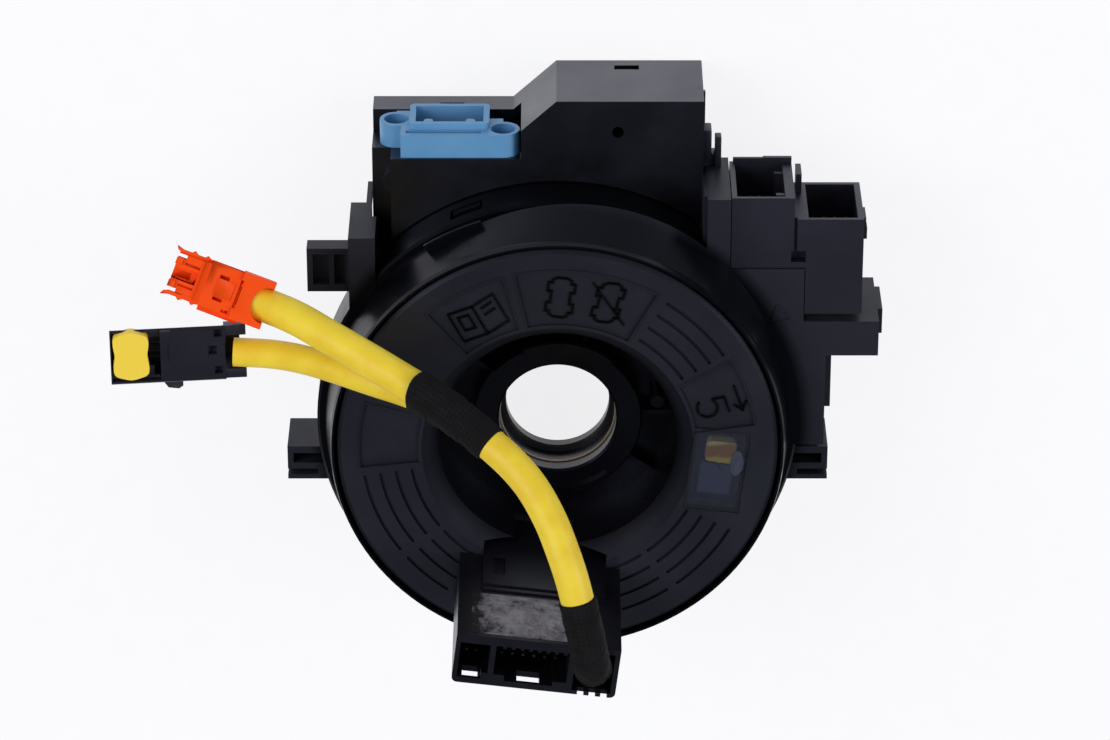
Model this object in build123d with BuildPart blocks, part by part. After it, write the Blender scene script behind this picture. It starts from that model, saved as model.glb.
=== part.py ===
from build123d import *
from math import atan, cos, degrees, pi, radians, sin, sqrt, tan
import os

# Steering clock spring (spiral cable) with its steering angle sensor.
#
# Frame: millimetres. The origin is on the steering axis, in the plane of the sensor's back
# cover. +Z runs along the steering axis towards the driver, +Y up the fitted part and +X to
# the driver's right. The rotor is built turned by rotor_turn, its position at rest.

os.makedirs("parts", exist_ok=True)

# ---------------------------------------------------------------- driving dimensions
# Levels along the steering axis
face_z = 50.0            # front face of the rotor disc and top of the case rim
floor_top_z = 24.0       # floor of the cable chamber
floor_plate = 2.0        # thickness of that floor
well_floor_z = 27.0      # bottom of the hub well, seen from the front
hub_front_z = 34.0       # front face of the hub ring
rotor_back_z = 25.0      # back of the rotor moulding
block_front_z = 24.0     # front panel of the sensor block
cover_t = 1.6            # sensor back cover
wing_front_z = 38.0      # front of the side wing and its sockets
wing_back_z = 14.5       # back edge of the wing's walls

# Rotor
rotor_turn = -7.0        # rotor angle at rest, about +Z
disc_r = 51.5
disc_t = 2.0
disc_skirt = 6.0         # depth of the disc's edge skirt
skirt_t = 1.7
well_r = 28.0
well_edge_r = 31.8       # where the well's chamfer meets the disc
well_chamfer_h = 5.0
well_wall = 2.0
hub_r = 20.0
bore_r = 13.9            # hub bore
hub_rib_h = 1.2
groove_pitch = 3.75      # spacing of the arc grooves in the disc
groove_first_r = 34.4
groove_w = 0.8
groove_depth = 0.7
pad_depth = 0.55         # recessed pads for the pictograms

# Sleeve that locks the rotor in from behind and drives the angle sensor
sleeve_lip_r = 12.3      # smallest bore
sleeve_bore_r = 24.5
sleeve_r = 26.2
sleeve_end_z = 2.6
running_gap = 0.09       # radial clearance of the rotor in its bearing
collar_wall = 2.3
collar_depth = 7.0

# Case
groove_gap = 0.8         # gap between disc and rim
rim_w = 0.9
wall_t = 1.7
skirt_step = 5.3         # from the disc's edge out to the ring round the foot of the wall
skirt_ring_r = disc_r + skirt_step
skirt_ring_t = 1.5
skirt_ring_top_z = 35.5
flare_low_r = 48.3       # foot circle of the flared shoulder
flare_low_x = 3.45
flare_low_y = 9.5
shell = 2.0              # wall of the wing and of the sensor box
latch_count = 5
latch_first = 112.0      # angle of the latch seen above the rim
latch_w = 8.0

# Sensor block outline
block_left = -43.4
block_right = skirt_ring_r - 22.9
block_low = 20.0
block_top_left = 68.1
block_top_right = 77.3
slope_start = -10.4
slope_end = -0.3
ring_box_r = 34.0        # sensor box round the sleeve

# Board socket (blue)
flange_top = 68.4
flange_t = 5.7
boss_r = 3.9
boss_hole_r = 2.9
boss_left_x = -37.7
boss_left_z = 13.7
boss_right_x = -12.7
boss_right_z = 19.4
socket_x = -25.2         # middle of the mouth
socket_w = 18.6
socket_z = 14.2
socket_d = 11.6
socket_wall = 1.4
socket_rim = 1.5
socket_depth = 13.0
flange_back_z = 8.6

# Sensor gears
gear_module = 0.8
ring_teeth = 68
gear_a_teeth = 26
gear_b_teeth = 24
gear_a_angle = 62.0
gear_b_angle = 112.0
gear_low_z = 8.0
gear_face = 4.0
gear_backlash = 0.22
gear_pin_r = 1.5
gear_pin_gap = 0.08
magnet_r = 3.0
magnet_t = 1.5
board_t = 1.6
board_low_z = 3.0

# Wing sockets
a_left = block_right + 6.3
a_right = a_left + 14.5
a_low = skirt_ring_r - 15.5
a_top = a_low + 17.8
b_right = a_right + 16.1
b_low = a_low - 11.9
b_top = a_low + 12.4
b_foot_left = a_right + 2.8
module_back_z = 17.3
module_front_z = 37.8
module_depth = 12.0
module_wall = 1.2
foot_left = a_left + 2.8   # window in the wing's wall for the module's foot
foot_right = foot_left + 10.0
foot_low_z = 19.0
foot_high_z = 31.0
foot_gap = 0.15
foot_end_y = a_low - 3.2

# Connector tower on the rotor (rotor axes)
tower_w = 38.0
tower_x = -0.5
tower_in_y = -30.0       # wall that faces the hub
tower_out_y = -42.8
tower_h = 38.0           # height over the disc
tower_pocket = 16.0      # depth of its sockets
tower_wall = 1.5
apron_t = 0.9            # lower half of the inner wall stands forward by this
apron_left = -14.0
apron_right = 15.0
apron_low_z = 33.0
apron_top_h = 15.0
tower_a_w = 7.0
tower_b_w = 17.0
tower_divider = 1.3
outlet_w = 9.0           # cable outlet
outlet_depth = 12.0

# Flat cable
coil_turns = 5
coil_pitch = 2.2
coil_t = 0.7
coil_w = 14.0
coil_wall_gap = 4.1
coil_first_r = disc_r + groove_gap - coil_wall_gap - coil_t - coil_turns * coil_pitch

# Harness
trunk_d = 8.0
outlet_tape_d = 8.5
junction_tape_d = 11.0
branch_d = 7.0

# General clearance between parts of different bodies
clear = 0.3


def rotor_plane(height):
    """A plane across the steering axis, turned with the rotor."""
    turn = radians(rotor_turn)
    return Plane(origin=(0, 0, height), x_dir=(cos(turn), sin(turn), 0), z_dir=(0, 0, 1))


def polar(radius, angle):
    """A point in the plane at a radius and an angle in degrees."""
    return (radius * cos(radians(angle)), radius * sin(radians(angle)))


def save(name, piece):
    """Label a finished piece and write it as its own STEP file."""
    piece.label = name
    export_step(piece, "parts/" + name + ".step")


def ring_sector(inner, outer, start, span):
    """A flat sector of a ring."""
    with BuildSketch(mode=Mode.PRIVATE) as sector:
        with BuildLine():
            far = CenterArc((0, 0), outer, start, span)
            near = CenterArc((0, 0), inner, start, span)
            Line(far @ 0, near @ 0)
            Line(far @ 1, near @ 1)
        make_face()
    return sector.sketch


def arc_slot(radius, width, start, end):
    """A groove that follows a circle round the steering axis, with round ends."""
    with BuildSketch(mode=Mode.PRIVATE) as slot:
        with BuildLine(mode=Mode.PRIVATE) as middle:
            CenterArc((0, 0), radius, start, end - start)
        SlotArc(middle.edge(), width)
    return slot.sketch


def rectangle_between(x0, y0, x1, y1):
    """A rectangle between two corners."""
    with BuildSketch(mode=Mode.PRIVATE) as area:
        with Locations(((x0 + x1) / 2, (y0 + y1) / 2)):
            Rectangle(abs(x1 - x0), abs(y1 - y0))
    return area.sketch


def block_between(low, high, frame=Plane.XY):
    """A block between two corners, given in the axes of a plane."""
    with BuildPart(frame.offset(low[2]), mode=Mode.PRIVATE) as block:
        with Locations(((low[0] + high[0]) / 2, (low[1] + high[1]) / 2)):
            Box(high[0] - low[0], high[1] - low[1], high[2] - low[2],
                align=(Align.CENTER, Align.CENTER, Align.MIN))
    return block.part


# ---------------------------------------------------------------- outer case
case_inner_r = disc_r + groove_gap
case_foot_z = floor_top_z
rim_outer_r = case_inner_r + rim_w
shoulder_z = wing_front_z
inner_wall_r = case_inner_r + wall_t
latch_low_z = case_foot_z + 3.5
latch_high_z = latch_low_z + 5.0

wing_left = block_right + 0.7
wing_right = b_right + 4.2
wing_low_right = skirt_ring_r + 6.0
wing_step_y = b_low - 10.8
wing_outline = [
    (wing_left, 30.0),
    (wing_left, a_top - 0.3),
    (a_left - 0.2, a_top - 0.3),
    (a_left - 0.2, a_low - 0.2),
    (b_foot_left - 0.2, a_low - 0.2),
    (b_foot_left - 0.2, b_low - 1.9),
    (wing_right, b_low - 1.9),
    (wing_right, wing_step_y),
    (wing_low_right, wing_step_y),
    (wing_low_right, -5.0),
    (skirt_ring_r - 6.8, -5.0),
]

ear_low = -18.5
ear_high = -9.8
ear_near = 53.0
ear_far = 64.4
ear_front_z = 30.0
ear_back_z = 15.5

with BuildPart() as outer_case:
    # wall with its rounded rim, and the skirt ring round its foot
    with BuildSketch(Plane.XZ):
        with BuildLine():
            Polyline(
                (case_inner_r, case_foot_z),
                (inner_wall_r, case_foot_z),
                (inner_wall_r, skirt_ring_top_z - wall_t),
                (skirt_ring_r - skirt_ring_t, skirt_ring_top_z - wall_t),
                (skirt_ring_r - skirt_ring_t, case_foot_z),
                (skirt_ring_r, case_foot_z),
                (skirt_ring_r, skirt_ring_top_z - 0.6),
                (skirt_ring_r - 0.6, skirt_ring_top_z),
                (inner_wall_r + 0.9, skirt_ring_top_z),
                (inner_wall_r + 0.6, shoulder_z),
                (rim_outer_r, face_z - 1.2),
                (rim_outer_r - 0.35, face_z),
                (case_inner_r, face_z),
                close=True,
            )
        make_face()
    revolve(axis=Axis.Z)
    # flared shoulder that runs from the rim out to the wing
    with BuildSketch(Plane.XY.offset(shoulder_z)):
        with Locations((flare_low_x, flare_low_y)):
            Circle(flare_low_r)
    with BuildSketch(Plane.XY.offset(face_z - 1.0)):
        Circle(rim_outer_r - 0.2)
    loft()
    # wing: front plate and deep side walls
    with BuildSketch(Plane.XY.offset(wing_front_z - shell)):
        Polygon(*wing_outline, align=None)
    extrude(amount=shell)
    with BuildSketch(Plane.XY.offset(case_foot_z)):
        Polygon(*wing_outline, align=None)
        offset(amount=-shell, kind=Kind.INTERSECTION, mode=Mode.SUBTRACT)
    extrude(amount=wing_front_z - case_foot_z - shell)
    with BuildSketch(Plane.XY.offset(wing_back_z)):
        Polygon(*wing_outline, align=None)
        offset(amount=-shell, kind=Kind.INTERSECTION, mode=Mode.SUBTRACT)
        Circle(skirt_ring_r + clear, mode=Mode.SUBTRACT)
    extrude(amount=case_foot_z - wing_back_z)
    # lip along the wing's edge over the sockets
    add(block_between((wing_right, wing_step_y + 1.9, 18.0),
                      (wing_right + 1.3, b_low - 2.6, 30.0)))
    # thin guide flap below the wing
    add(block_between((wing_low_right, wing_step_y - 15.2, 24.0),
                      (wing_low_right + 1.5, wing_step_y - 0.6, 34.5)))
    # bracket on the left, open at the back
    with BuildSketch(Plane.XY.offset(wing_back_z + 1.8)):
        add(rectangle_between(-48.6, 24.6, block_left - 0.25, 48.0))
        Circle(skirt_ring_r + clear, mode=Mode.SUBTRACT)
    extrude(amount=case_foot_z - wing_back_z - 1.8)
    with BuildSketch(Plane.XY.offset(case_foot_z)):
        add(rectangle_between(-48.6, 24.6, -42.4, 48.0))
    extrude(amount=12.0)
    add(block_between((-45.0, 44.5, 4.5), (-43.9, 48.0, wing_back_z + 4)))
    # thin clip ear beside the bracket
    add(block_between((-58.6, 31.4, 25.3), (-48.0, 42.5, ear_front_z)))
    # two deep clip ears low on each side
    for side in (-1, 1):
        ear_span = sorted((side * ear_near, side * ear_far))
        add(block_between((ear_span[0], ear_low, ear_back_z), (ear_span[1], ear_high, ear_front_z)))
    add(block_between((ear_near, ear_high, ear_back_z + 2), (62.4, -4.5, ear_front_z - 3.5)))
    # room for the rotor and the flat cable, and for the floor behind it
    with BuildSketch(Plane.XY.offset(wing_back_z - 1)):
        Circle(case_inner_r)
    extrude(amount=face_z + 5 - wing_back_z, mode=Mode.SUBTRACT)
    with BuildSketch(Plane.XY.offset(wing_back_z - 1)):
        Circle(skirt_ring_r + clear)
    extrude(amount=case_foot_z - wing_back_z + 1, mode=Mode.SUBTRACT)
    # window for the foot of the wing sockets
    add(block_between((foot_left, a_low - shell - 1.2, foot_low_z),
                      (foot_right, a_low + 1, foot_high_z)), mode=Mode.SUBTRACT)
    # slots for the floor's snap hooks
    with BuildSketch(Plane.XY.offset(latch_low_z)):
        for index in range(latch_count):
            middle = latch_first + index * 360 / latch_count
            half = degrees(latch_w / 2 / skirt_ring_r)
            add(ring_sector(inner_wall_r + 0.02, skirt_ring_r + 1, middle - half, 2 * half))
    extrude(amount=latch_high_z - latch_low_z, mode=Mode.SUBTRACT)
    # pockets in the clip ears
    for side in (-1, 1):
        pocket = sorted((side * 55.8, side * 63.0))
        add(block_between((pocket[0], -14.2, 20.0), (pocket[1], -11.6, ear_front_z + 1)),
            mode=Mode.SUBTRACT)
        pocket = sorted((side * 57.2, side * (ear_far + 1)))
        add(block_between((pocket[0], -17.3, 24.0), (pocket[1], -15.8, ear_front_z + 1)),
            mode=Mode.SUBTRACT)
    add(block_between((-57.2, 33.2, 27.2), (-53.4, 41.0, ear_front_z + 1)), mode=Mode.SUBTRACT)
    add(block_between((-52.2, 33.2, 27.2), (-49.6, 41.0, ear_front_z + 1)), mode=Mode.SUBTRACT)
save("outer_case", outer_case.part)

# ---------------------------------------------------------------- floor of the cable chamber
hook_gap = 0.2
hook_t = skirt_ring_r - skirt_ring_t - inner_wall_r - 2 * hook_gap
with BuildPart() as case_floor:
    with BuildSketch(Plane.XY.offset(floor_top_z - floor_plate)):
        Circle(skirt_ring_r)
        Circle(sleeve_r + running_gap, mode=Mode.SUBTRACT)
    extrude(amount=floor_plate)
    with BuildSketch(Plane.XY.offset(floor_top_z - collar_depth)):
        Circle(sleeve_r + running_gap + collar_wall)
        Circle(sleeve_r + running_gap, mode=Mode.SUBTRACT)
    extrude(amount=collar_depth)
    with BuildSketch(Plane.XY.offset(floor_top_z)):
        for index in range(latch_count):
            middle = latch_first + index * 360 / latch_count
            half = degrees((latch_w / 2 - 0.6) / skirt_ring_r)
            add(ring_sector(inner_wall_r + hook_gap, inner_wall_r + hook_gap + hook_t,
                            middle - half, 2 * half))
    extrude(amount=latch_low_z + 2.2 - floor_top_z)
    with BuildSketch(Plane.XY.offset(latch_low_z + hook_gap)):
        for index in range(latch_count):
            middle = latch_first + index * 360 / latch_count
            half = degrees((latch_w / 2 - 0.6) / skirt_ring_r)
            add(ring_sector(inner_wall_r + hook_gap, skirt_ring_r - 0.3, middle - half, 2 * half))
    extrude(amount=2.0)
save("case_floor", case_floor.part)

# ---------------------------------------------------------------- flat cable
with BuildPart() as flat_cable:
    with BuildSketch(Plane.XY.offset(floor_top_z)):
        with BuildLine():
            half_pitch = coil_pitch / 2
            for edge_offset in (0, coil_t):
                radius = coil_first_r + edge_offset
                for turn in range(coil_turns):
                    CenterArc((0, 0), radius, 0, 180)
                    CenterArc((half_pitch, 0), radius + half_pitch, 180, 180)
                    radius += coil_pitch
            coil_last_r = coil_first_r + coil_turns * coil_pitch
            Line((coil_first_r, 0), (coil_first_r + coil_t, 0))
            Line((coil_last_r, 0), (coil_last_r + coil_t, 0))
        make_face()
    extrude(amount=coil_w)
save("flat_cable", flat_cable.part)

# ---------------------------------------------------------------- angle sensor box
flange_low = flange_top - flange_t
block_outline = [
    (block_left, block_low),
    (block_left, block_top_left),
    (slope_start, block_top_left),
    (slope_end, block_top_right),
    (block_right, block_top_right),
    (block_right, block_low),
]
cavity_outline = [
    (block_left + shell, block_low + shell),
    (block_left + shell, flange_low - shell),
    (slope_start, flange_low - shell),
    (slope_start, block_top_left - shell),
    (slope_end + 0.9, block_top_right - shell),
    (block_right - shell, block_top_right - shell),
    (block_right - shell, block_low + shell),
]
box_front_z = floor_top_z - floor_plate
screw_spots = [(-38.2, 26.0), (-38.2, 55.0), (29.5, 24.5), (28.6, 70.2)]
screw_boss_r = 2.7
screw_r = 1.1
screw_head_r = 2.4
screw_head_t = 1.2
latch_left = (-27.7, -22.0)
latch_right = (13.3, 19.1)
gear_a_distance = gear_module * (ring_teeth + gear_a_teeth) / 2
gear_b_distance = gear_module * (ring_teeth + gear_b_teeth) / 2
gear_a_spot = polar(gear_a_distance, gear_a_angle)
gear_b_spot = polar(gear_b_distance, gear_b_angle)
gear_pin_end_z = gear_low_z + 1.0
front_step_x = -38.9
front_step_z = 17.5
flange_room = 0.15

with BuildPart() as sensor_box:
    with BuildSketch(Plane.XY.offset(cover_t)):
        Polygon(*block_outline, align=None)
        Circle(ring_box_r)
    extrude(amount=box_front_z - cover_t)
    with BuildSketch(Plane.XY.offset(box_front_z)):
        Polygon(*block_outline, align=None)
        Circle(skirt_ring_r + clear, mode=Mode.SUBTRACT)
    extrude(amount=block_front_z - box_front_z)
    # hollow it from the back
    with BuildSketch(Plane.XY.offset(cover_t)):
        Polygon(*cavity_outline, align=None)
        Circle(ring_box_r - shell)
    extrude(amount=box_front_z - shell - cover_t, mode=Mode.SUBTRACT)
    # opening for the bearing collar
    with BuildSketch(Plane.XY.offset(cover_t)):
        Circle(sleeve_r + running_gap + collar_wall + clear)
    extrude(amount=box_front_z, mode=Mode.SUBTRACT)
    # cut-out for the board socket's flange, open at the front and the left
    add(block_between((block_left - 1, flange_low, flange_back_z - 1.0),
                      (slope_start + 1.9, block_top_right, block_front_z + 1)), mode=Mode.SUBTRACT)
    # the socket's body passes through the shelf under the flange
    add(block_between((socket_x - socket_w / 2 - flange_room, flange_low - shell - 1,
                       socket_z - socket_d / 2 - flange_room),
                      (socket_x + socket_w / 2 + flange_room, flange_low + 1,
                       socket_z + socket_d / 2 + flange_room)), mode=Mode.SUBTRACT)
    # narrower front edge on the left
    add(block_between((block_left - 1, block_low - 1, front_step_z),
                      (front_step_x, flange_low, block_front_z + 1)), mode=Mode.SUBTRACT)
    add(block_between((front_step_x, block_low, front_step_z - shell),
                      (front_step_x + shell, flange_low, box_front_z)))
    add(block_between((block_left, block_low, front_step_z - shell),
                      (front_step_x + shell, flange_low, front_step_z)))
    # pins for the two sensor gears, and the screw bosses
    with BuildSketch(Plane.XY.offset(gear_pin_end_z)):
        with Locations(gear_a_spot, gear_b_spot):
            Circle(gear_pin_r)
    extrude(amount=box_front_z - shell - gear_pin_end_z)
    with BuildSketch(Plane.XY.offset(gear_low_z + gear_face + 1.6)):
        with Locations(gear_a_spot, gear_b_spot):
            Circle(gear_pin_r + 1.2)
    extrude(amount=box_front_z - shell - gear_low_z - gear_face - 1.6)
    with BuildSketch(Plane.XY.offset(board_low_z + board_t)):
        with Locations(*screw_spots):
            Circle(screw_boss_r)
    extrude(amount=box_front_z - shell - board_low_z - board_t)
    with BuildSketch(Plane.XY.offset(board_low_z + board_t)):
        with Locations(*screw_spots):
            Circle(screw_r)
    extrude(amount=8.0, mode=Mode.SUBTRACT)
    # small hole in the front panel
    with BuildSketch(Plane.XY.offset(box_front_z - shell)):
        with Locations((14.0, 69.5)):
            Circle(1.4)
    extrude(amount=block_front_z, mode=Mode.SUBTRACT)
    # windows for the cover's snap hooks
    add(block_between((latch_left[0], block_top_left - shell - 4, cover_t + 2.2),
                      (latch_left[1], block_top_left + 1, cover_t + 4.6)), mode=Mode.SUBTRACT)
    add(block_between((latch_right[0], block_top_right - shell - 1, cover_t + 1.4),
                      (latch_right[1], block_top_right + 1, cover_t + 3.8)), mode=Mode.SUBTRACT)
    # slot for the left hook behind the socket
    add(block_between((latch_left[0], block_top_left - shell - 1.2, cover_t - 1),
                      (latch_left[1], block_top_left - shell, cover_t + 4.6)), mode=Mode.SUBTRACT)
    # small ribs on the right side
    add(block_between((block_right, block_top_right - 16.8, 4.0),
                      (block_right + 0.9, block_top_right - 5.8, 5.2)))
    add(block_between((block_right, block_top_right - 13.3, 9.0),
                      (block_right + 2.1, block_top_right - 12.1, 13.0)))
save("sensor_box", sensor_box.part)

with BuildPart() as sensor_cover:
    with BuildSketch(Plane.XY):
        Polygon(*block_outline, align=None)
        Circle(ring_box_r)
        Circle(sleeve_bore_r, mode=Mode.SUBTRACT)
    extrude(amount=cover_t)
    # spacers under the board, with countersunk screw holes
    with BuildSketch(Plane.XY.offset(cover_t)):
        with Locations(*screw_spots):
            Circle(screw_boss_r - 0.4)
    extrude(amount=board_low_z - cover_t)
    with BuildSketch(Plane.XY):
        with Locations(*screw_spots):
            Circle(screw_r + 0.2)
    extrude(amount=board_low_z, mode=Mode.SUBTRACT)
    with BuildSketch(Plane.XY):
        with Locations(*screw_spots):
            Circle(screw_head_r + 0.1)
    extrude(amount=screw_head_t + 0.05, taper=45, mode=Mode.SUBTRACT)
    # snap hooks
    add(block_between((latch_left[0] + 0.4, block_top_left - shell - 1.0, cover_t),
                      (latch_left[1] - 0.4, block_top_left - shell - 0.1, cover_t + 4.4)))
    add(block_between((latch_left[0] + 0.4, block_top_left - shell - 1.0, cover_t + 2.4),
                      (latch_left[1] - 0.4, block_top_left - 0.7, cover_t + 4.4)))
    add(block_between((latch_right[0] + 0.4, block_top_right - shell - 1.1, cover_t),
                      (latch_right[1] - 0.4, block_top_right - shell - 0.1, cover_t + 3.6)))
    add(block_between((latch_right[0] + 0.4, block_top_right - shell - 1.1, cover_t + 1.6),
                      (latch_right[1] - 0.4, block_top_right - 0.7, cover_t + 3.6)))
save("sensor_cover", sensor_cover.part)

with BuildPart() as sensor_board:
    with BuildSketch(Plane.XY.offset(board_low_z)):
        add(rectangle_between(block_left + shell + 0.5, block_low + shell + 0.5,
                              block_right - shell - 0.5, flange_low - shell - 0.5))
        add(rectangle_between(6.0, 40.0, block_right - shell - 0.5, 73.6))
        Circle(ring_box_r - shell, mode=Mode.SUBTRACT)
    extrude(amount=board_t)
    with BuildSketch(Plane.XY.offset(board_low_z)):
        with Locations(*screw_spots):
            Circle(screw_r + 0.2)
    extrude(amount=board_t, mode=Mode.SUBTRACT)
save("sensor_board", sensor_board.part)

# ---------------------------------------------------------------- screws of the back cover
for number, spot in enumerate(screw_spots, start=1):
    with BuildPart() as cover_screw:
        with BuildSketch(Plane.XY):
            with Locations(spot):
                Circle(screw_head_r)
        extrude(amount=screw_head_t, taper=45)
        with BuildSketch(Plane.XY):
            with Locations(spot):
                Circle(screw_r)
        extrude(amount=board_low_z + board_t + 6.0)
    save(f"cover_screw_{number}", cover_screw.part)

# ---------------------------------------------------------------- board socket (blue)
mouth_w = socket_w - 2 * socket_wall
mouth_d = socket_d - 2 * socket_wall
socket_floor_y = flange_top + socket_rim - socket_depth
key_w = 2.2


def across(height):
    """A plane at a height along +Y, with its sketch axes along +X and +Z."""
    return Plane(origin=(0, height, 0), x_dir=(1, 0, 0), z_dir=(0, -1, 0))


with BuildPart() as board_socket:
    # flange: a straight front bar with a boss at each end
    with BuildSketch(across(flange_top)):
        with Locations((boss_left_x, boss_left_z), (boss_right_x, boss_right_z)):
            Circle(boss_r)
        add(rectangle_between(boss_left_x, flange_back_z + 0.6, boss_right_x - boss_r,
                              boss_left_z + boss_r))
        add(rectangle_between(boss_left_x + 1.2, boss_left_z, boss_right_x,
                              boss_right_z + boss_r))
        with Locations((boss_left_x, boss_left_z), (boss_right_x, boss_right_z)):
            Circle(boss_hole_r, mode=Mode.SUBTRACT)
    extrude(amount=flange_t)
    # body and raised rim of the socket
    with BuildSketch(across(flange_top + socket_rim)):
        with Locations((socket_x, socket_z)):
            RectangleRounded(socket_w, socket_d, 1.2)
    extrude(amount=socket_depth + 1.5)
    with BuildSketch(across(flange_top + socket_rim)):
        with Locations((socket_x, socket_z)):
            Rectangle(mouth_w, mouth_d)
    extrude(amount=socket_depth, mode=Mode.SUBTRACT)
    # guide keys on the front wall of the mouth
    with BuildSketch(across(flange_top + socket_rim)):
        with Locations((socket_x - mouth_w * 0.31, socket_z + mouth_d / 2 - 0.5),
                       (socket_x + mouth_w * 0.31, socket_z + mouth_d / 2 - 0.5)):
            Circle(key_w / 2)
        with Locations((socket_x, socket_z)):
            Rectangle(mouth_w, mouth_d, mode=Mode.INTERSECT)
    extrude(amount=socket_depth)
    # relief slot between the socket and the front bar
    with BuildSketch(across(flange_top)):
        add(rectangle_between(boss_left_x + 2.4, socket_z + socket_d / 2 + 0.5,
                              boss_right_x - boss_r - 1.2, socket_z + socket_d / 2 + 1.9))
    extrude(amount=3.2, mode=Mode.SUBTRACT)
save("board_socket", board_socket.part)

board_pin_count = 6
board_pin_pitch = 2.2
pin_side = 0.64
with BuildPart() as board_pins:
    # two rows of contacts on one carrier strip behind the socket's floor
    with BuildSketch(across(socket_floor_y + 8.0)):
        with Locations((socket_x, socket_z)):
            with GridLocations(board_pin_pitch, 3.6, board_pin_count, 2):
                Rectangle(pin_side, pin_side)
    extrude(amount=8.0 - 0.6)
    with BuildSketch(across(socket_floor_y + 0.6)):
        with Locations((socket_x, socket_z)):
            Rectangle(mouth_w - 2.4, mouth_d - 3.2)
    extrude(amount=0.6)
save("board_pins", board_pins.part)

# ---------------------------------------------------------------- wing sockets
a_mouth = (a_left + module_wall, a_right - 2.2)
b_mouth = (b_foot_left + 0.5, b_right - 1.4)
mouth_back_z = module_back_z + module_wall
mouth_front_z = module_front_z - 1.0
with BuildPart() as wing_sockets:
    add(block_between((a_left, a_low, module_back_z), (a_right, a_top, module_front_z)))
    add(block_between((a_right, a_low, module_back_z), (b_right, b_top, module_front_z)))
    add(block_between((b_foot_left, b_low, module_back_z), (b_right, a_low, module_front_z)))
    add(block_between((a_mouth[0], a_top - module_depth, mouth_back_z),
                      (a_mouth[1], a_top + 1, mouth_front_z)), mode=Mode.SUBTRACT)
    add(block_between((b_mouth[0], b_top - module_depth, mouth_back_z),
                      (b_mouth[1], b_top + 1, mouth_front_z)), mode=Mode.SUBTRACT)
    # keys on the right wall of the first mouth
    for key_z in (module_back_z + 4.0, module_front_z - 4.6):
        add(block_between((a_mouth[1] - 2.0, a_top - module_depth, key_z),
                          (a_mouth[1], a_top - 0.8, key_z + 1.2)))
    # groove between the two sockets, and the step at their foot
    add(block_between((a_right, a_low + 1.5, module_front_z - 1.2), (a_right + 0.7, b_top + 1,
                       module_front_z + 1)), mode=Mode.SUBTRACT)
    add(block_between((a_right - 0.6, a_low + 1.5, module_front_z - 2.4), (b_foot_left, a_low + 4.3,
                       module_front_z + 1)), mode=Mode.SUBTRACT)
    # raised back lip with a post
    add(block_between((a_left + 7.8, a_top, module_back_z), (a_right, a_top + 1.4,
                       module_back_z + 1.0)))
    add(block_between((a_right + 0.9, b_top, module_back_z), (a_right + 2.2, a_top - 0.6,
                       module_back_z + 6.0)))
    # latch nubs on the right side
    add(block_between((b_right, b_top - 6.1, 24.0), (b_right + 1.0, b_top - 3.3, 30.0)))
    add(block_between((b_right, b_top - 10.1, 24.0), (b_right + 1.5, b_top - 7.1, 27.0)))
    # foot that reaches through the wing's wall
    add(block_between((foot_left + foot_gap, foot_end_y, foot_low_z + foot_gap),
                      (foot_right - foot_gap, a_low, foot_high_z - foot_gap)))
save("wing_sockets", wing_sockets.part)

wing_pin_h = 5.5
wing_pin_count = 4       # pins in each row
socket_sets = [
    ("wing_pins_a", (a_mouth[0] + a_mouth[1]) / 2 - 1.0, a_top, 2.2),
    ("wing_pins_b", (b_mouth[0] + b_mouth[1]) / 2, b_top, 2.5),
]
for set_name, middle_x, mouth_top, pitch in socket_sets:
    with BuildPart() as wing_pins:
        middle_z = (mouth_back_z + mouth_front_z) / 2
        with BuildSketch(across(mouth_top - module_depth + wing_pin_h)):
            with Locations((middle_x, middle_z)):
                with GridLocations(pitch, 5.0, wing_pin_count, 3):
                    Rectangle(pin_side, pin_side)
        extrude(amount=wing_pin_h - 0.6)
        with BuildSketch(across(mouth_top - module_depth + 0.6)):
            with Locations((middle_x, middle_z)):
                Rectangle(pitch * wing_pin_count, 13.0)
        extrude(amount=0.6)
    save(set_name, wing_pins.part)

# ---------------------------------------------------------------- gears
def gear_outline(teeth, backlash):
    """A spur gear's outline: involute flanks drawn with three straight facets each."""
    pitch_radius = gear_module * teeth / 2
    base_radius = pitch_radius * cos(radians(20))
    tip_radius = pitch_radius + gear_module
    root_radius = pitch_radius - 1.25 * gear_module
    half_tooth = (pi * gear_module / 2 - backlash) / 2 / pitch_radius
    pitch_roll = tan(radians(20)) - radians(20)
    flank = []
    for radius in (max(root_radius, base_radius), pitch_radius, tip_radius):
        roll = sqrt(max(0.0, (radius / base_radius) ** 2 - 1))
        flank.append((radius, half_tooth + pitch_roll - roll + atan(roll)))
    points = []
    for tooth in range(teeth):
        middle = 2 * pi * tooth / teeth
        points.append((root_radius * cos(middle - flank[0][1]), root_radius * sin(middle - flank[0][1])))
        for radius, half_angle in flank[1:]:
            points.append((radius * cos(middle - half_angle), radius * sin(middle - half_angle)))
        for radius, half_angle in reversed(flank[1:]):
            points.append((radius * cos(middle + half_angle), radius * sin(middle + half_angle)))
        points.append((root_radius * cos(middle + flank[0][1]), root_radius * sin(middle + flank[0][1])))
    return points


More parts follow.
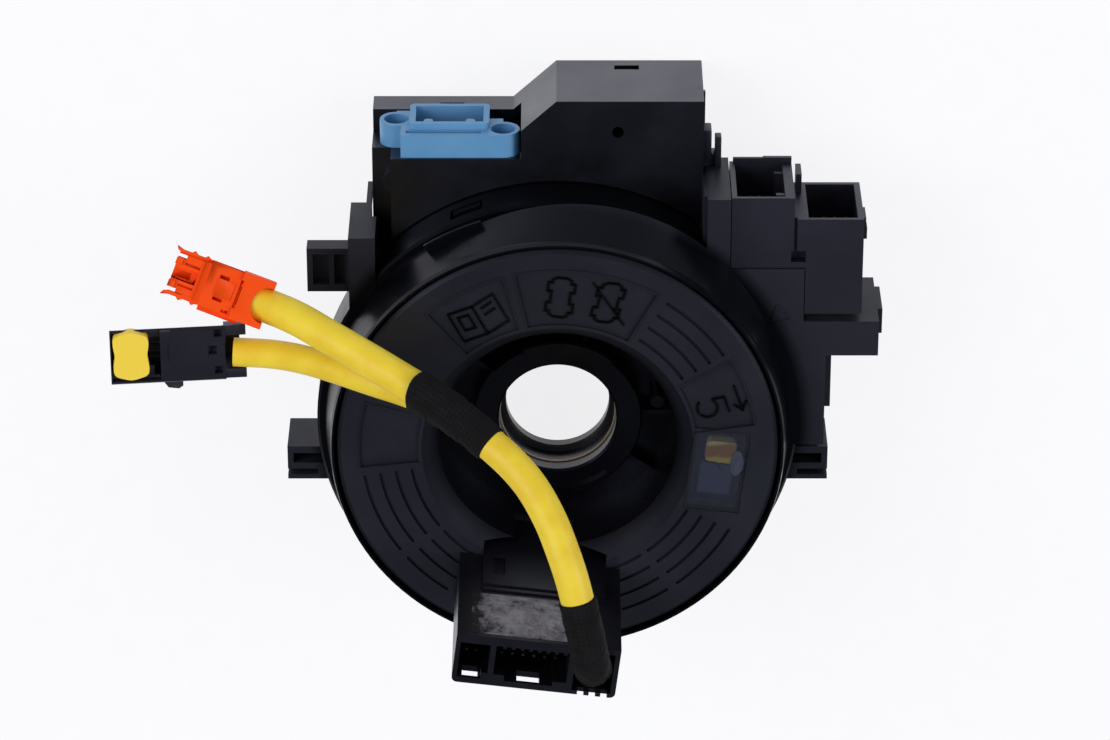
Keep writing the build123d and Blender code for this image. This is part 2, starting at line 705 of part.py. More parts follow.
gear_parts = [
    ("sensor_gear_a", "sensor_magnet_a", gear_a_teeth, gear_a_spot, gear_a_angle),
    ("sensor_gear_b", "sensor_magnet_b", gear_b_teeth, gear_b_spot, gear_b_angle),
]
magnet_low_z = board_low_z + board_t + 1.0
for gear_name, magnet_name, teeth, spot, angle in gear_parts:
    # a tooth space faces the ring gear's tooth on the line of centres
    ring_phase = (angle - rotor_turn) / 360 * ring_teeth
    mesh_turn = angle + 180 + (0.5 + ring_phase - round(ring_phase)) * 360 / teeth
    with BuildPart() as sensor_gear:
        with BuildSketch(Plane(origin=(spot[0], spot[1], gear_low_z),
                               x_dir=(cos(radians(mesh_turn)), sin(radians(mesh_turn)), 0),
                               z_dir=(0, 0, 1))):
            Polygon(*gear_outline(teeth, gear_backlash), align=None)
        extrude(amount=gear_face)
        with BuildSketch(Plane.XY.offset(magnet_low_z + magnet_t)):
            with Locations(spot):
                Circle(gear_pin_r + 3.0)
        extrude(amount=gear_low_z - magnet_low_z - magnet_t)
        with BuildSketch(Plane.XY.offset(gear_low_z + gear_face)):
            with Locations(spot):
                Circle(gear_pin_r + 1.6)
        extrude(amount=1.2)
        with BuildSketch(Plane.XY.offset(gear_pin_end_z - clear)):
            with Locations(spot):
                Circle(gear_pin_r + gear_pin_gap)
        extrude(amount=gear_face + 4.0, mode=Mode.SUBTRACT)
    save(gear_name, sensor_gear.part)
    with BuildPart() as sensor_magnet:
        with BuildSketch(Plane.XY.offset(magnet_low_z)):
            with Locations(spot):
                Circle(magnet_r)
        extrude(amount=magnet_t)
    save(magnet_name, sensor_magnet.part)

# ---------------------------------------------------------------- rotor face
tower_left = tower_x - tower_w / 2
tower_right = tower_x + tower_w / 2
well_outer_r = well_r + well_wall
disc_back_z = face_z - disc_t
chamfer_out = well_edge_r - well_r
rotor_profile = [
    (well_edge_r, face_z),
    (disc_r - 0.9, face_z),
    (disc_r, face_z - 0.9),
    (disc_r, face_z - disc_skirt),
    (disc_r - skirt_t, face_z - disc_skirt),
    (disc_r - skirt_t, disc_back_z),
    (well_outer_r + chamfer_out, disc_back_z),
    (well_outer_r, disc_back_z - well_chamfer_h + 1),
    (well_outer_r, rotor_back_z),
    (hub_r - 1.6, rotor_back_z),
    (hub_r - 1.6, hub_front_z - 2.2),
    (bore_r + 1.7, hub_front_z - 2.2),
    (bore_r + 1.7, rotor_back_z),
    (bore_r, rotor_back_z),
    (bore_r, hub_front_z - 0.5),
    (bore_r + 0.5, hub_front_z),
    (hub_r - 0.4, hub_front_z),
    (hub_r, hub_front_z - 0.4),
    (hub_r, well_floor_z),
    (well_r, well_floor_z),
    (well_r, face_z - well_chamfer_h),
]
groove_groups = [
    (40.0, 63.4, 4),
    (-44.5, -21.0, 4),
    (-63.0, -48.5, 4),
    (-164.0, -137.4, 4),
    (-133.5, -118.0, 4),
]
pad_in_r = 32.6
pad_out_r = 46.2
pads = [(67.0, 42.5), (112.6, 25.0), (14.8, 22.5), (171.5, 21.5)]
hub_ribs = [(30.0, 26.0), (122.0, 24.0), (-152.0, 30.0), (-72.0, 27.0)]
window_low = (32.0, -10.8)
window_high = (43.4, 8.8)
window_frame = 0.9

with BuildPart() as rotor_face:
    with BuildSketch(Plane.XZ):
        Polygon(*rotor_profile, align=None)
    revolve(axis=Axis.Z)
    # arc ribs on the hub ring, spokes across the well and two drive pins
    with BuildSketch(rotor_plane(hub_front_z)):
        for start, span in hub_ribs:
            add(ring_sector(hub_r - 1.6, hub_r - 0.4, start, span))
    extrude(amount=hub_rib_h)
    for spoke in (7.0, 78.0, 152.0, -28.0):
        with BuildSketch(rotor_plane(well_floor_z)):
            with Locations(Location((0, 0, 0), (0, 0, spoke))):
                with Locations((hub_r / 2 + well_r / 2, 0)):
                    Rectangle(well_r - hub_r + 0.6, 1.2)
        extrude(amount=4.0)
    with BuildSketch(rotor_plane(well_floor_z)):
        with Locations(polar(24.0, 18.0), polar(24.0, 198.0)):
            Circle(1.6)
    extrude(amount=7.5)
    # arc grooves, pads, and the step round the window
    with BuildSketch(rotor_plane(face_z - groove_depth)):
        for start, end, count in groove_groups:
            for index in range(count):
                add(arc_slot(groove_first_r + index * groove_pitch, groove_w, start, end))
    extrude(amount=groove_depth + 1, mode=Mode.SUBTRACT)
    with BuildSketch(rotor_plane(face_z - pad_depth)):
        for start, span in pads:
            add(ring_sector(pad_in_r, pad_out_r, start, span))
    extrude(amount=pad_depth + 1, mode=Mode.SUBTRACT)
    add(block_between((window_low[0], window_low[1], disc_back_z - 1),
                      (window_high[0], window_high[1], face_z + 1), rotor_plane(0)),
        mode=Mode.SUBTRACT)
    add(block_between((window_low[0] - window_frame, window_low[1] - window_frame, face_z - 0.8),
                      (window_high[0] + window_frame, window_high[1] + window_frame, face_z + 1),
                      rotor_plane(0)), mode=Mode.SUBTRACT)
    # seat of the tower, and the gap in the well's wall for its apron
    add(block_between((tower_left + 2.0, tower_out_y + 2.0, disc_back_z - 3),
                      (tower_right - 2.0, tower_in_y - 1.2, face_z + 1), rotor_plane(0)),
        mode=Mode.SUBTRACT)
    add(block_between((apron_left - 0.1, tower_in_y - 3.4, apron_low_z),
                      (apron_right + 0.1, tower_in_y + apron_t + 2.0, face_z + 1),
                      rotor_plane(0)), mode=Mode.SUBTRACT)
save("rotor_face", rotor_face.part)

# ---------------------------------------------------------------- rotor sleeve
with BuildPart() as rotor_sleeve:
    with BuildSketch(Plane.XZ):
        Polygon(
            (sleeve_lip_r, rotor_back_z - 3.0),
            (sleeve_lip_r, rotor_back_z - 0.5),
            (sleeve_lip_r + 0.5, rotor_back_z),
            (sleeve_r, rotor_back_z),
            (sleeve_r, sleeve_end_z),
            (sleeve_bore_r, sleeve_end_z),
            (sleeve_bore_r, rotor_back_z - 3.0),
            align=None,
        )
    revolve(axis=Axis.Z)
    # ring gear that drives the two sensor gears
    with BuildSketch(rotor_plane(gear_low_z)):
        Polygon(*gear_outline(ring_teeth, gear_backlash), align=None)
        Circle(sleeve_bore_r + 0.5, mode=Mode.SUBTRACT)
    extrude(amount=gear_face)
save("rotor_sleeve", rotor_sleeve.part)

# ---------------------------------------------------------------- connector tower
tower_top_z = face_z + tower_h
pocket_low_z = tower_top_z - tower_pocket
pocket_out_y = tower_out_y + tower_wall
pocket_in_y = tower_in_y - 2.2
mouth_a = (tower_left + tower_wall - 0.4, tower_left + tower_wall - 0.4 + tower_a_w)
mouth_b = (mouth_a[1] + tower_divider, mouth_a[1] + tower_divider + tower_b_w)
outlet = (mouth_b[1] + 1.4, mouth_b[1] + 1.4 + outlet_w)
apron_top_z = face_z + apron_top_h
tooth_pitch = 2.0
tower_axes = rotor_plane(0)
potting_low = (tower_left + 3.2, apron_top_z + 3.4)
potting_high = (outlet[0] - 1.6, tower_top_z - 1.4)
potting_depth = 0.7

with BuildPart() as connector_tower:
    with BuildSketch(rotor_plane(face_z)):
        add(rectangle_between(tower_left, tower_out_y, tower_right, tower_in_y))
    extrude(amount=tower_h)
    outer_corners = connector_tower.edges().filter_by(Axis.Z).filter_by(
        lambda edge: tower_axes.to_local_coords(edge.center()).Y < tower_in_y - 1)
    fillet(outer_corners, 1.3)
    # stem that locates it in the disc
    add(block_between((tower_left + 2.1, tower_out_y + 2.1, disc_back_z - 1.5),
                      (tower_right - 2.1, tower_in_y - 1.3, face_z), tower_axes))
    # apron that closes the well's wall, with its ledges
    add(block_between((apron_left, tower_in_y - 1.6, apron_low_z),
                      (apron_right, tower_in_y + apron_t, apron_top_z), tower_axes))
    add(block_between((apron_left, tower_in_y - 1.0, apron_top_z),
                      (apron_right, tower_in_y + apron_t / 2, apron_top_z + 1.8), tower_axes))
    # sockets, cable outlet, and the hollow under them
    add(block_between((mouth_a[0], pocket_out_y, pocket_low_z),
                      (mouth_a[1], pocket_in_y, tower_top_z + 1), tower_axes), mode=Mode.SUBTRACT)
    add(block_between((mouth_b[0], pocket_out_y, pocket_low_z),
                      (mouth_b[1], pocket_in_y, tower_top_z + 1), tower_axes), mode=Mode.SUBTRACT)
    add(block_between((outlet[0], pocket_out_y - 0.4, tower_top_z - outlet_depth),
                      (outlet[1], tower_in_y - 1.4, tower_top_z + 1), tower_axes),
        mode=Mode.SUBTRACT)
    add(block_between((tower_left + 3.6, tower_out_y + 3.6, disc_back_z - 2),
                      (tower_right - 3.6, tower_in_y - 2.9, pocket_low_z - 2.0), tower_axes),
        mode=Mode.SUBTRACT)
    # row of ribs along the inner wall of the wide socket
    for index in range(8):
        rib_x = mouth_b[0] + 1.6 + index * tooth_pitch
        add(block_between((rib_x, pocket_in_y - 0.9, pocket_low_z),
                          (rib_x + 0.8, pocket_in_y, tower_top_z - 0.6), tower_axes))
    # corner keys of the wide socket and the narrow one
    add(block_between((mouth_b[0], pocket_out_y, pocket_low_z),
                      (mouth_b[0] + 2.6, pocket_out_y + 1.5, tower_top_z), tower_axes))
    add(block_between((mouth_b[1] - 3.2, pocket_out_y, pocket_low_z),
                      (mouth_b[1], pocket_out_y + 1.2, tower_top_z), tower_axes))
    add(block_between((mouth_a[1] - 1.6, pocket_out_y, pocket_low_z),
                      (mouth_a[1], pocket_out_y + 1.6, tower_top_z), tower_axes))
    # latch windows through the outer wall
    add(block_between((mouth_a[0] + 1.2, tower_out_y - 1, tower_top_z - 5.4),
                      (mouth_a[0] + 4.9, pocket_out_y + 0.1, tower_top_z - 0.9), tower_axes),
        mode=Mode.SUBTRACT)
    add(block_between((mouth_b[0] + 5.6, tower_out_y - 1, tower_top_z - 5.4),
                      (mouth_b[0] + 10.9, pocket_out_y + 0.1, tower_top_z - 0.9), tower_axes),
        mode=Mode.SUBTRACT)
    # strain-relief comb in the outlet's outer wall
    for index in range(3):
        notch_x = outlet[0] + 1.4 + index * 2.7
        add(block_between((notch_x, tower_out_y - 1, tower_top_z - 5.0),
                          (notch_x + 1.5, pocket_out_y, tower_top_z + 1), tower_axes),
            mode=Mode.SUBTRACT)
    # recess for the potting, and a small window in the apron
    add(block_between((potting_low[0], tower_in_y - potting_depth, potting_low[1]),
                      (potting_high[0], tower_in_y + 1, potting_high[1]), tower_axes),
        mode=Mode.SUBTRACT)
    add(block_between((apron_left + 2.4, tower_in_y + apron_t - 0.8, face_z + 1.5),
                      (apron_left + 5.2, tower_in_y + apron_t + 1, face_z + 10.0), tower_axes),
        mode=Mode.SUBTRACT)
save("connector_tower", connector_tower.part)

with BuildPart() as tower_potting:
    add(block_between((potting_low[0], tower_in_y - potting_depth, potting_low[1]),
                      (potting_high[0], tower_in_y + 0.1, potting_high[1]), tower_axes))
save("tower_potting", tower_potting.part)

tower_a_pin_count = 2    # pins in each row
tower_b_pin_count = 6
tower_pin_sets = [
    ("tower_pins_a", mouth_a, tower_a_pin_count, 2.2),
    ("tower_pins_b", mouth_b, tower_b_pin_count, 2.5),
]
pocket_middle_y = (pocket_in_y + pocket_out_y) / 2
for set_name, mouth, pin_count, pitch in tower_pin_sets:
    with BuildPart() as tower_pins:
        with BuildSketch(rotor_plane(pocket_low_z)):
            with Locations(((mouth[0] + mouth[1]) / 2 - 0.5, pocket_middle_y + 0.3)):
                Rectangle(pitch * pin_count + 0.4, 5.0)
        extrude(amount=0.6)
        with BuildSketch(rotor_plane(pocket_low_z + 0.6)):
            with Locations(((mouth[0] + mouth[1]) / 2 - 0.5, pocket_middle_y + 0.3)):
                with GridLocations(pitch, 3.4, pin_count, 2):
                    Rectangle(pin_side, pin_side)
        extrude(amount=8.0)
    save(set_name, tower_pins.part)

# ---------------------------------------------------------------- neutral window
lens_t = 0.7
lens_play = 0.1
lens_low_z = face_z - 0.8
dome_spot = (41.2, 2.6)
dome_r = 4.2
tray_wall = 1.0
tray_depth = 3.2
tray_floor_z = disc_back_z - tray_depth
flag_low = (34.5, 0.9)
flag_high = (41.5, 6.2)
tab_low = (34.0, -8.4)
tab_high = (41.6, -0.4)

with BuildPart() as window_lens:
    add(block_between((window_low[0] - window_frame + lens_play,
                       window_low[1] - window_frame + lens_play, lens_low_z),
                      (window_high[0] + window_frame - lens_play,
                       window_high[1] + window_frame - lens_play, lens_low_z + lens_t),
                      rotor_plane(0)))
    # magnifying dome over the flag
    with BuildSketch(rotor_plane(lens_low_z + lens_t)):
        with Locations(dome_spot):
            Circle(dome_r)
        add(rectangle_between(window_low[0], window_low[1], window_high[0] + 0.6,
                              window_high[1]), mode=Mode.INTERSECT)
    extrude(amount=1.2, taper=30)
save("window_lens", window_lens.part)

with BuildPart() as flag_tray:
    add(block_between((window_low[0] - tray_wall, window_low[1] - tray_wall, tray_floor_z),
                      (window_high[0] + tray_wall, window_high[1] + tray_wall, disc_back_z),
                      rotor_plane(0)))
    add(block_between((window_low[0], window_low[1], tray_floor_z + tray_wall),
                      (window_high[0], window_high[1], disc_back_z + 1), rotor_plane(0)),
        mode=Mode.SUBTRACT)
    # room for the sloping wall of the well
    with BuildSketch(Plane.XZ):
        Polygon(
            (well_r, tray_floor_z - 1),
            (well_outer_r + 0.1, tray_floor_z - 1),
            (well_outer_r + 0.1, disc_back_z - well_chamfer_h + 1),
            (well_outer_r + chamfer_out + 0.1, disc_back_z),
            (well_outer_r + chamfer_out + 0.1, disc_back_z + 1),
            (well_r, disc_back_z + 1),
            align=None,
        )
    revolve(axis=Axis.Z, mode=Mode.SUBTRACT)
save("flag_tray", flag_tray.part)

with BuildPart() as neutral_flag:
    add(block_between((flag_low[0], flag_low[1], tray_floor_z + tray_wall),
                      (flag_high[0], flag_high[1], face_z - 1.1), rotor_plane(0)))
    fillet(neutral_flag.edges().filter_by(Axis.Z), 1.2)
save("neutral_flag", neutral_flag.part)

with BuildPart() as flag_tab:
    add(block_between((tab_low[0], tab_low[1], tray_floor_z + tray_wall),
                      (tab_high[0], tab_high[1], tray_floor_z + tray_wall + 1.4),
                      rotor_plane(0)))
save("flag_tab", flag_tab.part)

# ---------------------------------------------------------------- harness
# Routes are lists of points chosen by hand along the real lie of the cable.
trunk_route = [
    (8.3, -37.9, 76.5),
    (8.3, -37.8, 85.5),
    (7.9, -33.6, 93.2),
    (6.6, -23.4, 97.8),
    (4.0, -11.0, 96.9),
    (1.9, -4.8, 94.4),
    (-2.2, 3.8, 89.2),
    (-8.1, 11.6, 84.0),
    (-20.2, 18.8, 75.6),
    (-27.6, 22.0, 70.8),
    (-34.2, 24.4, 67.2),
]
branch_a_route = [
    (-35.9, 27.0, 69.6),
    (-43.6, 31.4, 66.4),
    (-51.9, 36.2, 63.4),
    (-60.0, 40.4, 61.0),
    (-68.5, 43.6, 60.2),
]
branch_b_route = [
    (-34.4, 22.1, 63.5),
    (-42.2, 23.6, 61.2),
    (-50.2, 25.8, 59.4),
    (-58.0, 28.0, 58.4),
    (-65.2, 29.3, 58.1),
    (-71.9, 29.6, 58.0),
]


def bend_radii(route):
    """Fillet radii for a route: as large as the two runs at each corner allow."""
    points = [Vector(*point) for point in route]
    radii = []
    for before, corner, after in zip(points, points[1:], points[2:]):
        arriving = corner - before
        leaving = after - corner
        half_turn = radians(arriving.get_angle(leaving)) / 2
        radii.append(0.45 * min(arriving.length, leaving.length) / tan(half_turn))
    return radii


def cable(route, diameter, name):
    """A round sleeve along a route, made of straight runs joined by tangent arcs."""
    radii = bend_radii(route)
    with BuildPart() as sleeve:
        with BuildLine() as path:
            FilletPolyline(*route, radius=radii)
        start = path.wires()[0]
        with BuildSketch(Plane(origin=start @ 0, z_dir=start % 0)):
            Circle(diameter / 2)
        sweep()
    length = start.length
    expected = length * pi * diameter ** 2 / 4
    print(f"{name}: length {length:.1f} mm, volume ratio {sleeve.part.volume / expected:.4f}")
    print("  radii " + ", ".join(f"{radius:.0f}" for radius in radii))
    return sleeve.part


def between(route, index, share):
    """A point part of the way along one run of a route."""
    first = Vector(*route[index])
    second = Vector(*route[index + 1])
    return tuple(first + (second - first) * share)


# the trunk's sleeve runs on inside both tapes, so the three meet face to face
outlet_tape_route = trunk_route[:4] + [between(trunk_route, 3, 0.5)]
trunk_sleeve_route = [between(trunk_route, 3, 0.5)] + trunk_route[4:8] + [between(trunk_route, 7, 0.5)]
junction_tape_route = [between(trunk_route, 7, 0.5)] + trunk_route[8:]
save("outlet_tape", cable(outlet_tape_route, outlet_tape_d, "outlet tape"))
save("trunk_sleeve", cable(trunk_sleeve_route, trunk_d, "trunk sleeve"))
save("junction_tape", cable(junction_tape_route, junction_tape_d, "junction tape"))
save("branch_sleeve_a", cable(branch_a_route, branch_d, "branch a"))
save("branch_sleeve_b", cable(branch_b_route, branch_d, "branch b"))


# ---------------------------------------------------------------- squib plugs
def plug_plane(route):
    """Local axes of a plug: +Z leaves the cable, +Y is its top, origin on the cable's end."""
    end = Vector(*route[-1])
    along = (end - Vector(*route[-2])).normalized()
    top = (Vector(0, 0, 1) - along * along.Z).normalized()
    return Plane(origin=end, x_dir=top.cross(along), z_dir=along)


plug_a_axes = plug_plane(branch_a_route)
plug_a_collar = (12.6, 9.8, 7.4)     # width, height, length
plug_a_body = (11.6, 8.8, 8.0)
plug_a_nose = (8.4, 7.6, 8.2)
arm_gap = 0.7
arm_t = 1.3
arm_w = 4.6
barb_out = 1.0
ridge_pitch = 2.1

with BuildPart() as squib_plug_a:
    collar_end = plug_a_collar[2]
    body_end = collar_end + plug_a_body[2]
    nose_end = body_end + plug_a_nose[2]
    with BuildSketch(plug_a_axes):
        RectangleRounded(plug_a_collar[0], plug_a_collar[1], 2.4)
    extrude(amount=collar_end)
    with BuildSketch(plug_a_axes.offset(collar_end)):
        RectangleRounded(plug_a_body[0], plug_a_body[1], 1.4)
    extrude(amount=plug_a_body[2])
    with BuildSketch(plug_a_axes.offset(body_end)):
        RectangleRounded(plug_a_nose[0], plug_a_nose[1], 2.0)
    extrude(amount=plug_a_nose[2])
    # mouth in the nose
    with BuildSketch(plug_a_axes.offset(nose_end)):
        Circle(2.7)
    extrude(amount=-5.5, mode=Mode.SUBTRACT)
    # locking arms beside the nose, with a barb at each tip
    for side in (-1, 1):
        arm_in = plug_a_nose[0] / 2 + arm_gap
        arm = sorted((side * arm_in, side * (arm_in + arm_t)))
        add(block_between((arm[0], -arm_w / 2, body_end - 1), (arm[1], arm_w / 2, nose_end + 1.2),
                          plug_a_axes))
        barb = sorted((side * arm_in, side * (arm_in + arm_t + barb_out)))
        add(block_between((barb[0], -arm_w / 2, nose_end - 0.9), (barb[1], arm_w / 2, nose_end + 1.2),
                          plug_a_axes))
        # step where the collar meets the body
        flank = sorted((side * plug_a_body[0] / 2, side * plug_a_collar[0] / 2))
        add(block_between((flank[0], -1.6, collar_end - 0.5), (flank[1], 1.6, body_end - 2), plug_a_axes))
    # grip ridges on the nose's top
    for ridge in range(3):
        ridge_z = body_end + 1.2 + ridge * ridge_pitch
        add(block_between((-3.2, plug_a_nose[1] / 2, ridge_z),
                          (3.2, plug_a_nose[1] / 2 + 0.7, ridge_z + 1.0), plug_a_axes))
    # terminal windows and the lock's slot in the top
    for window in ((-4.0, collar_end + 1.5), (2.0, collar_end + 1.5)):
        add(block_between((window[0], plug_a_body[1] / 2 - 1.2, window[1]),
                          (window[0] + 2.0, plug_a_body[1] / 2 + 1, window[1] + 3.4), plug_a_axes),
            mode=Mode.SUBTRACT)
    add(block_between((-3.2, plug_a_collar[1] / 2 - 1.0, 2.0),
                      (3.2, plug_a_collar[1] / 2 + 1, 3.0), plug_a_axes),
        mode=Mode.SUBTRACT)
    add(block_between((-1.0, plug_a_collar[1] / 2 - 1.0, 3.0),
                      (1.0, plug_a_collar[1] / 2 + 1, collar_end + 1), plug_a_axes),
        mode=Mode.SUBTRACT)
save("squib_plug_a", squib_plug_a.part)

plug_b_axes = plug_plane(branch_b_route)
plug_b_body = (11.4, 10.4, 21.0)
plug_b_nose = (9.6, 8.4, 10.5)
lock_w = 10.4
lock_l = 7.2
lock_t = 2.6
lock_wave_r = 1.0
lock_start = plug_b_body[2] + lock_wave_r + clear
lock_seat_y = plug_b_nose[1] - plug_b_body[1] / 2 + clear
tongue_w = 4.4
tongue_l = 5.0
tongue_depth = 4.0
tongue_start = lock_start + 1.0
lock_gap = 0.3

with BuildPart() as squib_plug_b:
    body_end = plug_b_body[2]
    nose_end = body_end + plug_b_nose[2]
    with BuildSketch(plug_b_axes):
        RectangleRounded(plug_b_body[0], plug_b_body[1], 1.2)
    extrude(amount=body_end)
    with BuildSketch(plug_b_axes.offset(body_end)):
        with Locations((0, -(plug_b_body[1] - plug_b_nose[1]) / 2)):
            RectangleRounded(plug_b_nose[0], plug_b_nose[1], 1.6)
    extrude(amount=plug_b_nose[2])
    # mouth in the nose
    with BuildSketch(plug_b_axes.offset(nose_end)):
        with Locations((0, -3.0)):
            Circle(1.7)
    extrude(amount=-5.0, mode=Mode.SUBTRACT)
    # pocket for the lock's tongue
    add(block_between((-tongue_w / 2 - lock_gap, lock_seat_y - tongue_depth - clear,
                       tongue_start - lock_gap),
                      (tongue_w / 2 + lock_gap, plug_b_body[1], tongue_start + tongue_l + lock_gap),
                      plug_b_axes), mode=Mode.SUBTRACT)
    # terminal windows in the top, and the side rail with its catch
    for window in ((-2.9, 4.0), (-1.0, 6.6), (1.6, 4.0)):
        add(block_between((window[0], plug_b_body[1] / 2 - 1.2, window[1]),
                          (window[0] + 1.5, plug_b_body[1] / 2 + 1, window[1] + 1.9),
                          plug_b_axes), mode=Mode.SUBTRACT)
    for side in (-1, 1):
        rail = sorted((side * plug_b_body[0] / 2, side * (plug_b_body[0] / 2 + 0.8)))
        add(block_between((rail[0], -2.0, 2.0), (rail[1], -0.4, body_end - 1.0), plug_b_axes))
        catch = sorted((side * plug_b_body[0] / 2, side * (plug_b_body[0] / 2 + 1.6)))
        add(block_between((catch[0], -2.6, 11.0), (catch[1], 0.4, 15.5), plug_b_axes))
save("squib_plug_b", squib_plug_b.part)

with BuildPart() as squib_lock:
    with BuildSketch(Plane(origin=plug_b_axes.from_local_coords(Vector(0, lock_seat_y, 0)),
                           x_dir=plug_b_axes.x_dir, z_dir=plug_b_axes.y_dir)):
        with Locations((0, -lock_start - lock_l / 2)):
            RectangleRounded(lock_w, lock_l, 1.2)
            # wavy thumb edge at each end
            with GridLocations(lock_w / 3, lock_l, 3, 2):
                Circle(lock_wave_r)
    extrude(amount=lock_t)
    add(block_between((-tongue_w / 2, lock_seat_y - tongue_depth, tongue_start),
                      (tongue_w / 2, lock_seat_y, tongue_start + tongue_l), plug_b_axes))
save("squib_lock", squib_lock.part)
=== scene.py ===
"""Steering clock spring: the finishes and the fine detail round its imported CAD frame."""

from __future__ import annotations

import logging
import math
from dataclasses import dataclass
from enum import Enum
from typing import Any, Sequence

import bmesh
import bpy
from mathutils import Matrix, Vector

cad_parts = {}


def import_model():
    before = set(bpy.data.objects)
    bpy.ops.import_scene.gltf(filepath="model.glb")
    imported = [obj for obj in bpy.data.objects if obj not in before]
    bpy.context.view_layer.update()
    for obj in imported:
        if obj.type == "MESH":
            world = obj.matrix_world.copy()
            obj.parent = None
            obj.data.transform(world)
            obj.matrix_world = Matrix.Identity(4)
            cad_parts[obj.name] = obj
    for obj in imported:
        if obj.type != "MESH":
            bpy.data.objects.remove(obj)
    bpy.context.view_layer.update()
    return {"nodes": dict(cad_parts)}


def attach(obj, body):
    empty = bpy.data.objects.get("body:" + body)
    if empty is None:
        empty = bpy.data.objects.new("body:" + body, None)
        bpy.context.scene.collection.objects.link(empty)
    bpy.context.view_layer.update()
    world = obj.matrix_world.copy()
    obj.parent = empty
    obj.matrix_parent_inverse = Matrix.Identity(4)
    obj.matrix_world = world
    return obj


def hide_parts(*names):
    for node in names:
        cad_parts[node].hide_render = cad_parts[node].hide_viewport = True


LOG = logging.getLogger("clock_spring")
MM = 0.001
ROTOR_TURN = math.radians(-7.0)     # the rotor's angle at rest about +Z
BREAK_ANGLE = math.radians(35)      # edges sharper than this are broken
SHARP_ANGLE = math.radians(32)      # and faces that meet more sharply than this aren't smoothed
Flat = tuple[float, float]
Point = tuple[float, float, float]


# ---------------------------------------------------------------- helpers
def linear(hex_colour: str) -> tuple[float, float, float, float]:
    """Turn an sRGB hex colour into linear red, green, blue and alpha.

    Args:
        hex_colour: Six hex digits, such as "1c1c1e".

    Returns:
        The linear colour with an alpha of 1.
    """
    channels = [int(hex_colour[place:place + 2], 16) / 255 for place in (0, 2, 4)]
    values = [value / 12.92 if value <= 0.04045 else ((value + 0.055) / 1.055) ** 2.4
              for value in channels]
    return (values[0], values[1], values[2], 1.0)


def scale_for(size_mm: float) -> float:
    """The scale at which a pattern repeats once in a size in millimetres."""
    return 1000 / size_mm


def fill_inputs(tree: bpy.types.NodeTree, node: bpy.types.Node, inputs: dict[str | int, Any]) -> None:
    """Set or link a node's inputs.

    Args:
        tree: The node tree that holds the node.
        node: The node whose inputs are filled.
        inputs: By input name or number, a value, an output socket, or a node for its first output.
    """
    for name, value in inputs.items():
        if isinstance(value, bpy.types.Node):
            value = value.outputs[0]
        if isinstance(value, bpy.types.NodeSocket):
            tree.links.new(value, node.inputs[name])
        else:
            node.inputs[name].default_value = value


def add_node(
    tree: bpy.types.NodeTree,
    kind: str,
    options: dict[str, Any] | None = None,
    inputs: dict[str | int, Any] | None = None,
    stops: Sequence[tuple[float, str]] = (),
) -> bpy.types.Node:
    """Add one shader node with its options set and its inputs filled or linked.

    Args:
        tree: The node tree that gets the node.
        kind: The node's type name without the ShaderNode prefix.
        options: Attributes of the node, by name.
        inputs: By input name or number, a value, an output socket, or a node for its first output.
        stops: Place and hex colour of each stop, where the node has a colour ramp.

    Returns:
        The new node.
    """
    node = tree.nodes.new("ShaderNode" + kind)
    for name, value in (options or {}).items():
        setattr(node, name, value)
    fill_inputs(tree, node, inputs or {})
    for number, (place, colour) in enumerate(stops):
        elements = node.color_ramp.elements
        element = elements[number] if number < len(elements) else elements.new(place)
        element.position = place
        element.color = linear(colour)
    return node


class Body(Enum):
    """The moving bodies that pieces ride on."""

    CASE = "stator"
    ROTOR = "rotor"
    LOCK = "plug_lock"


# ---------------------------------------------------------------- finishes
@dataclass(frozen=True)
class Finish:
    """A named finish. Each kind of material says what its shader's inputs get."""

    name: str

    def build(self) -> bpy.types.Material:
        """Make the material."""
        material = bpy.data.materials.new(self.name)
        material.use_nodes = True
        tree = material.node_tree
        fill_inputs(tree, tree.nodes["Principled BSDF"], self.surface(tree))
        return material

    def surface(self, tree: bpy.types.NodeTree) -> dict[str, Any]:
        """Lay the patterns' nodes and give each shader input's value, socket or node."""
        raise NotImplementedError


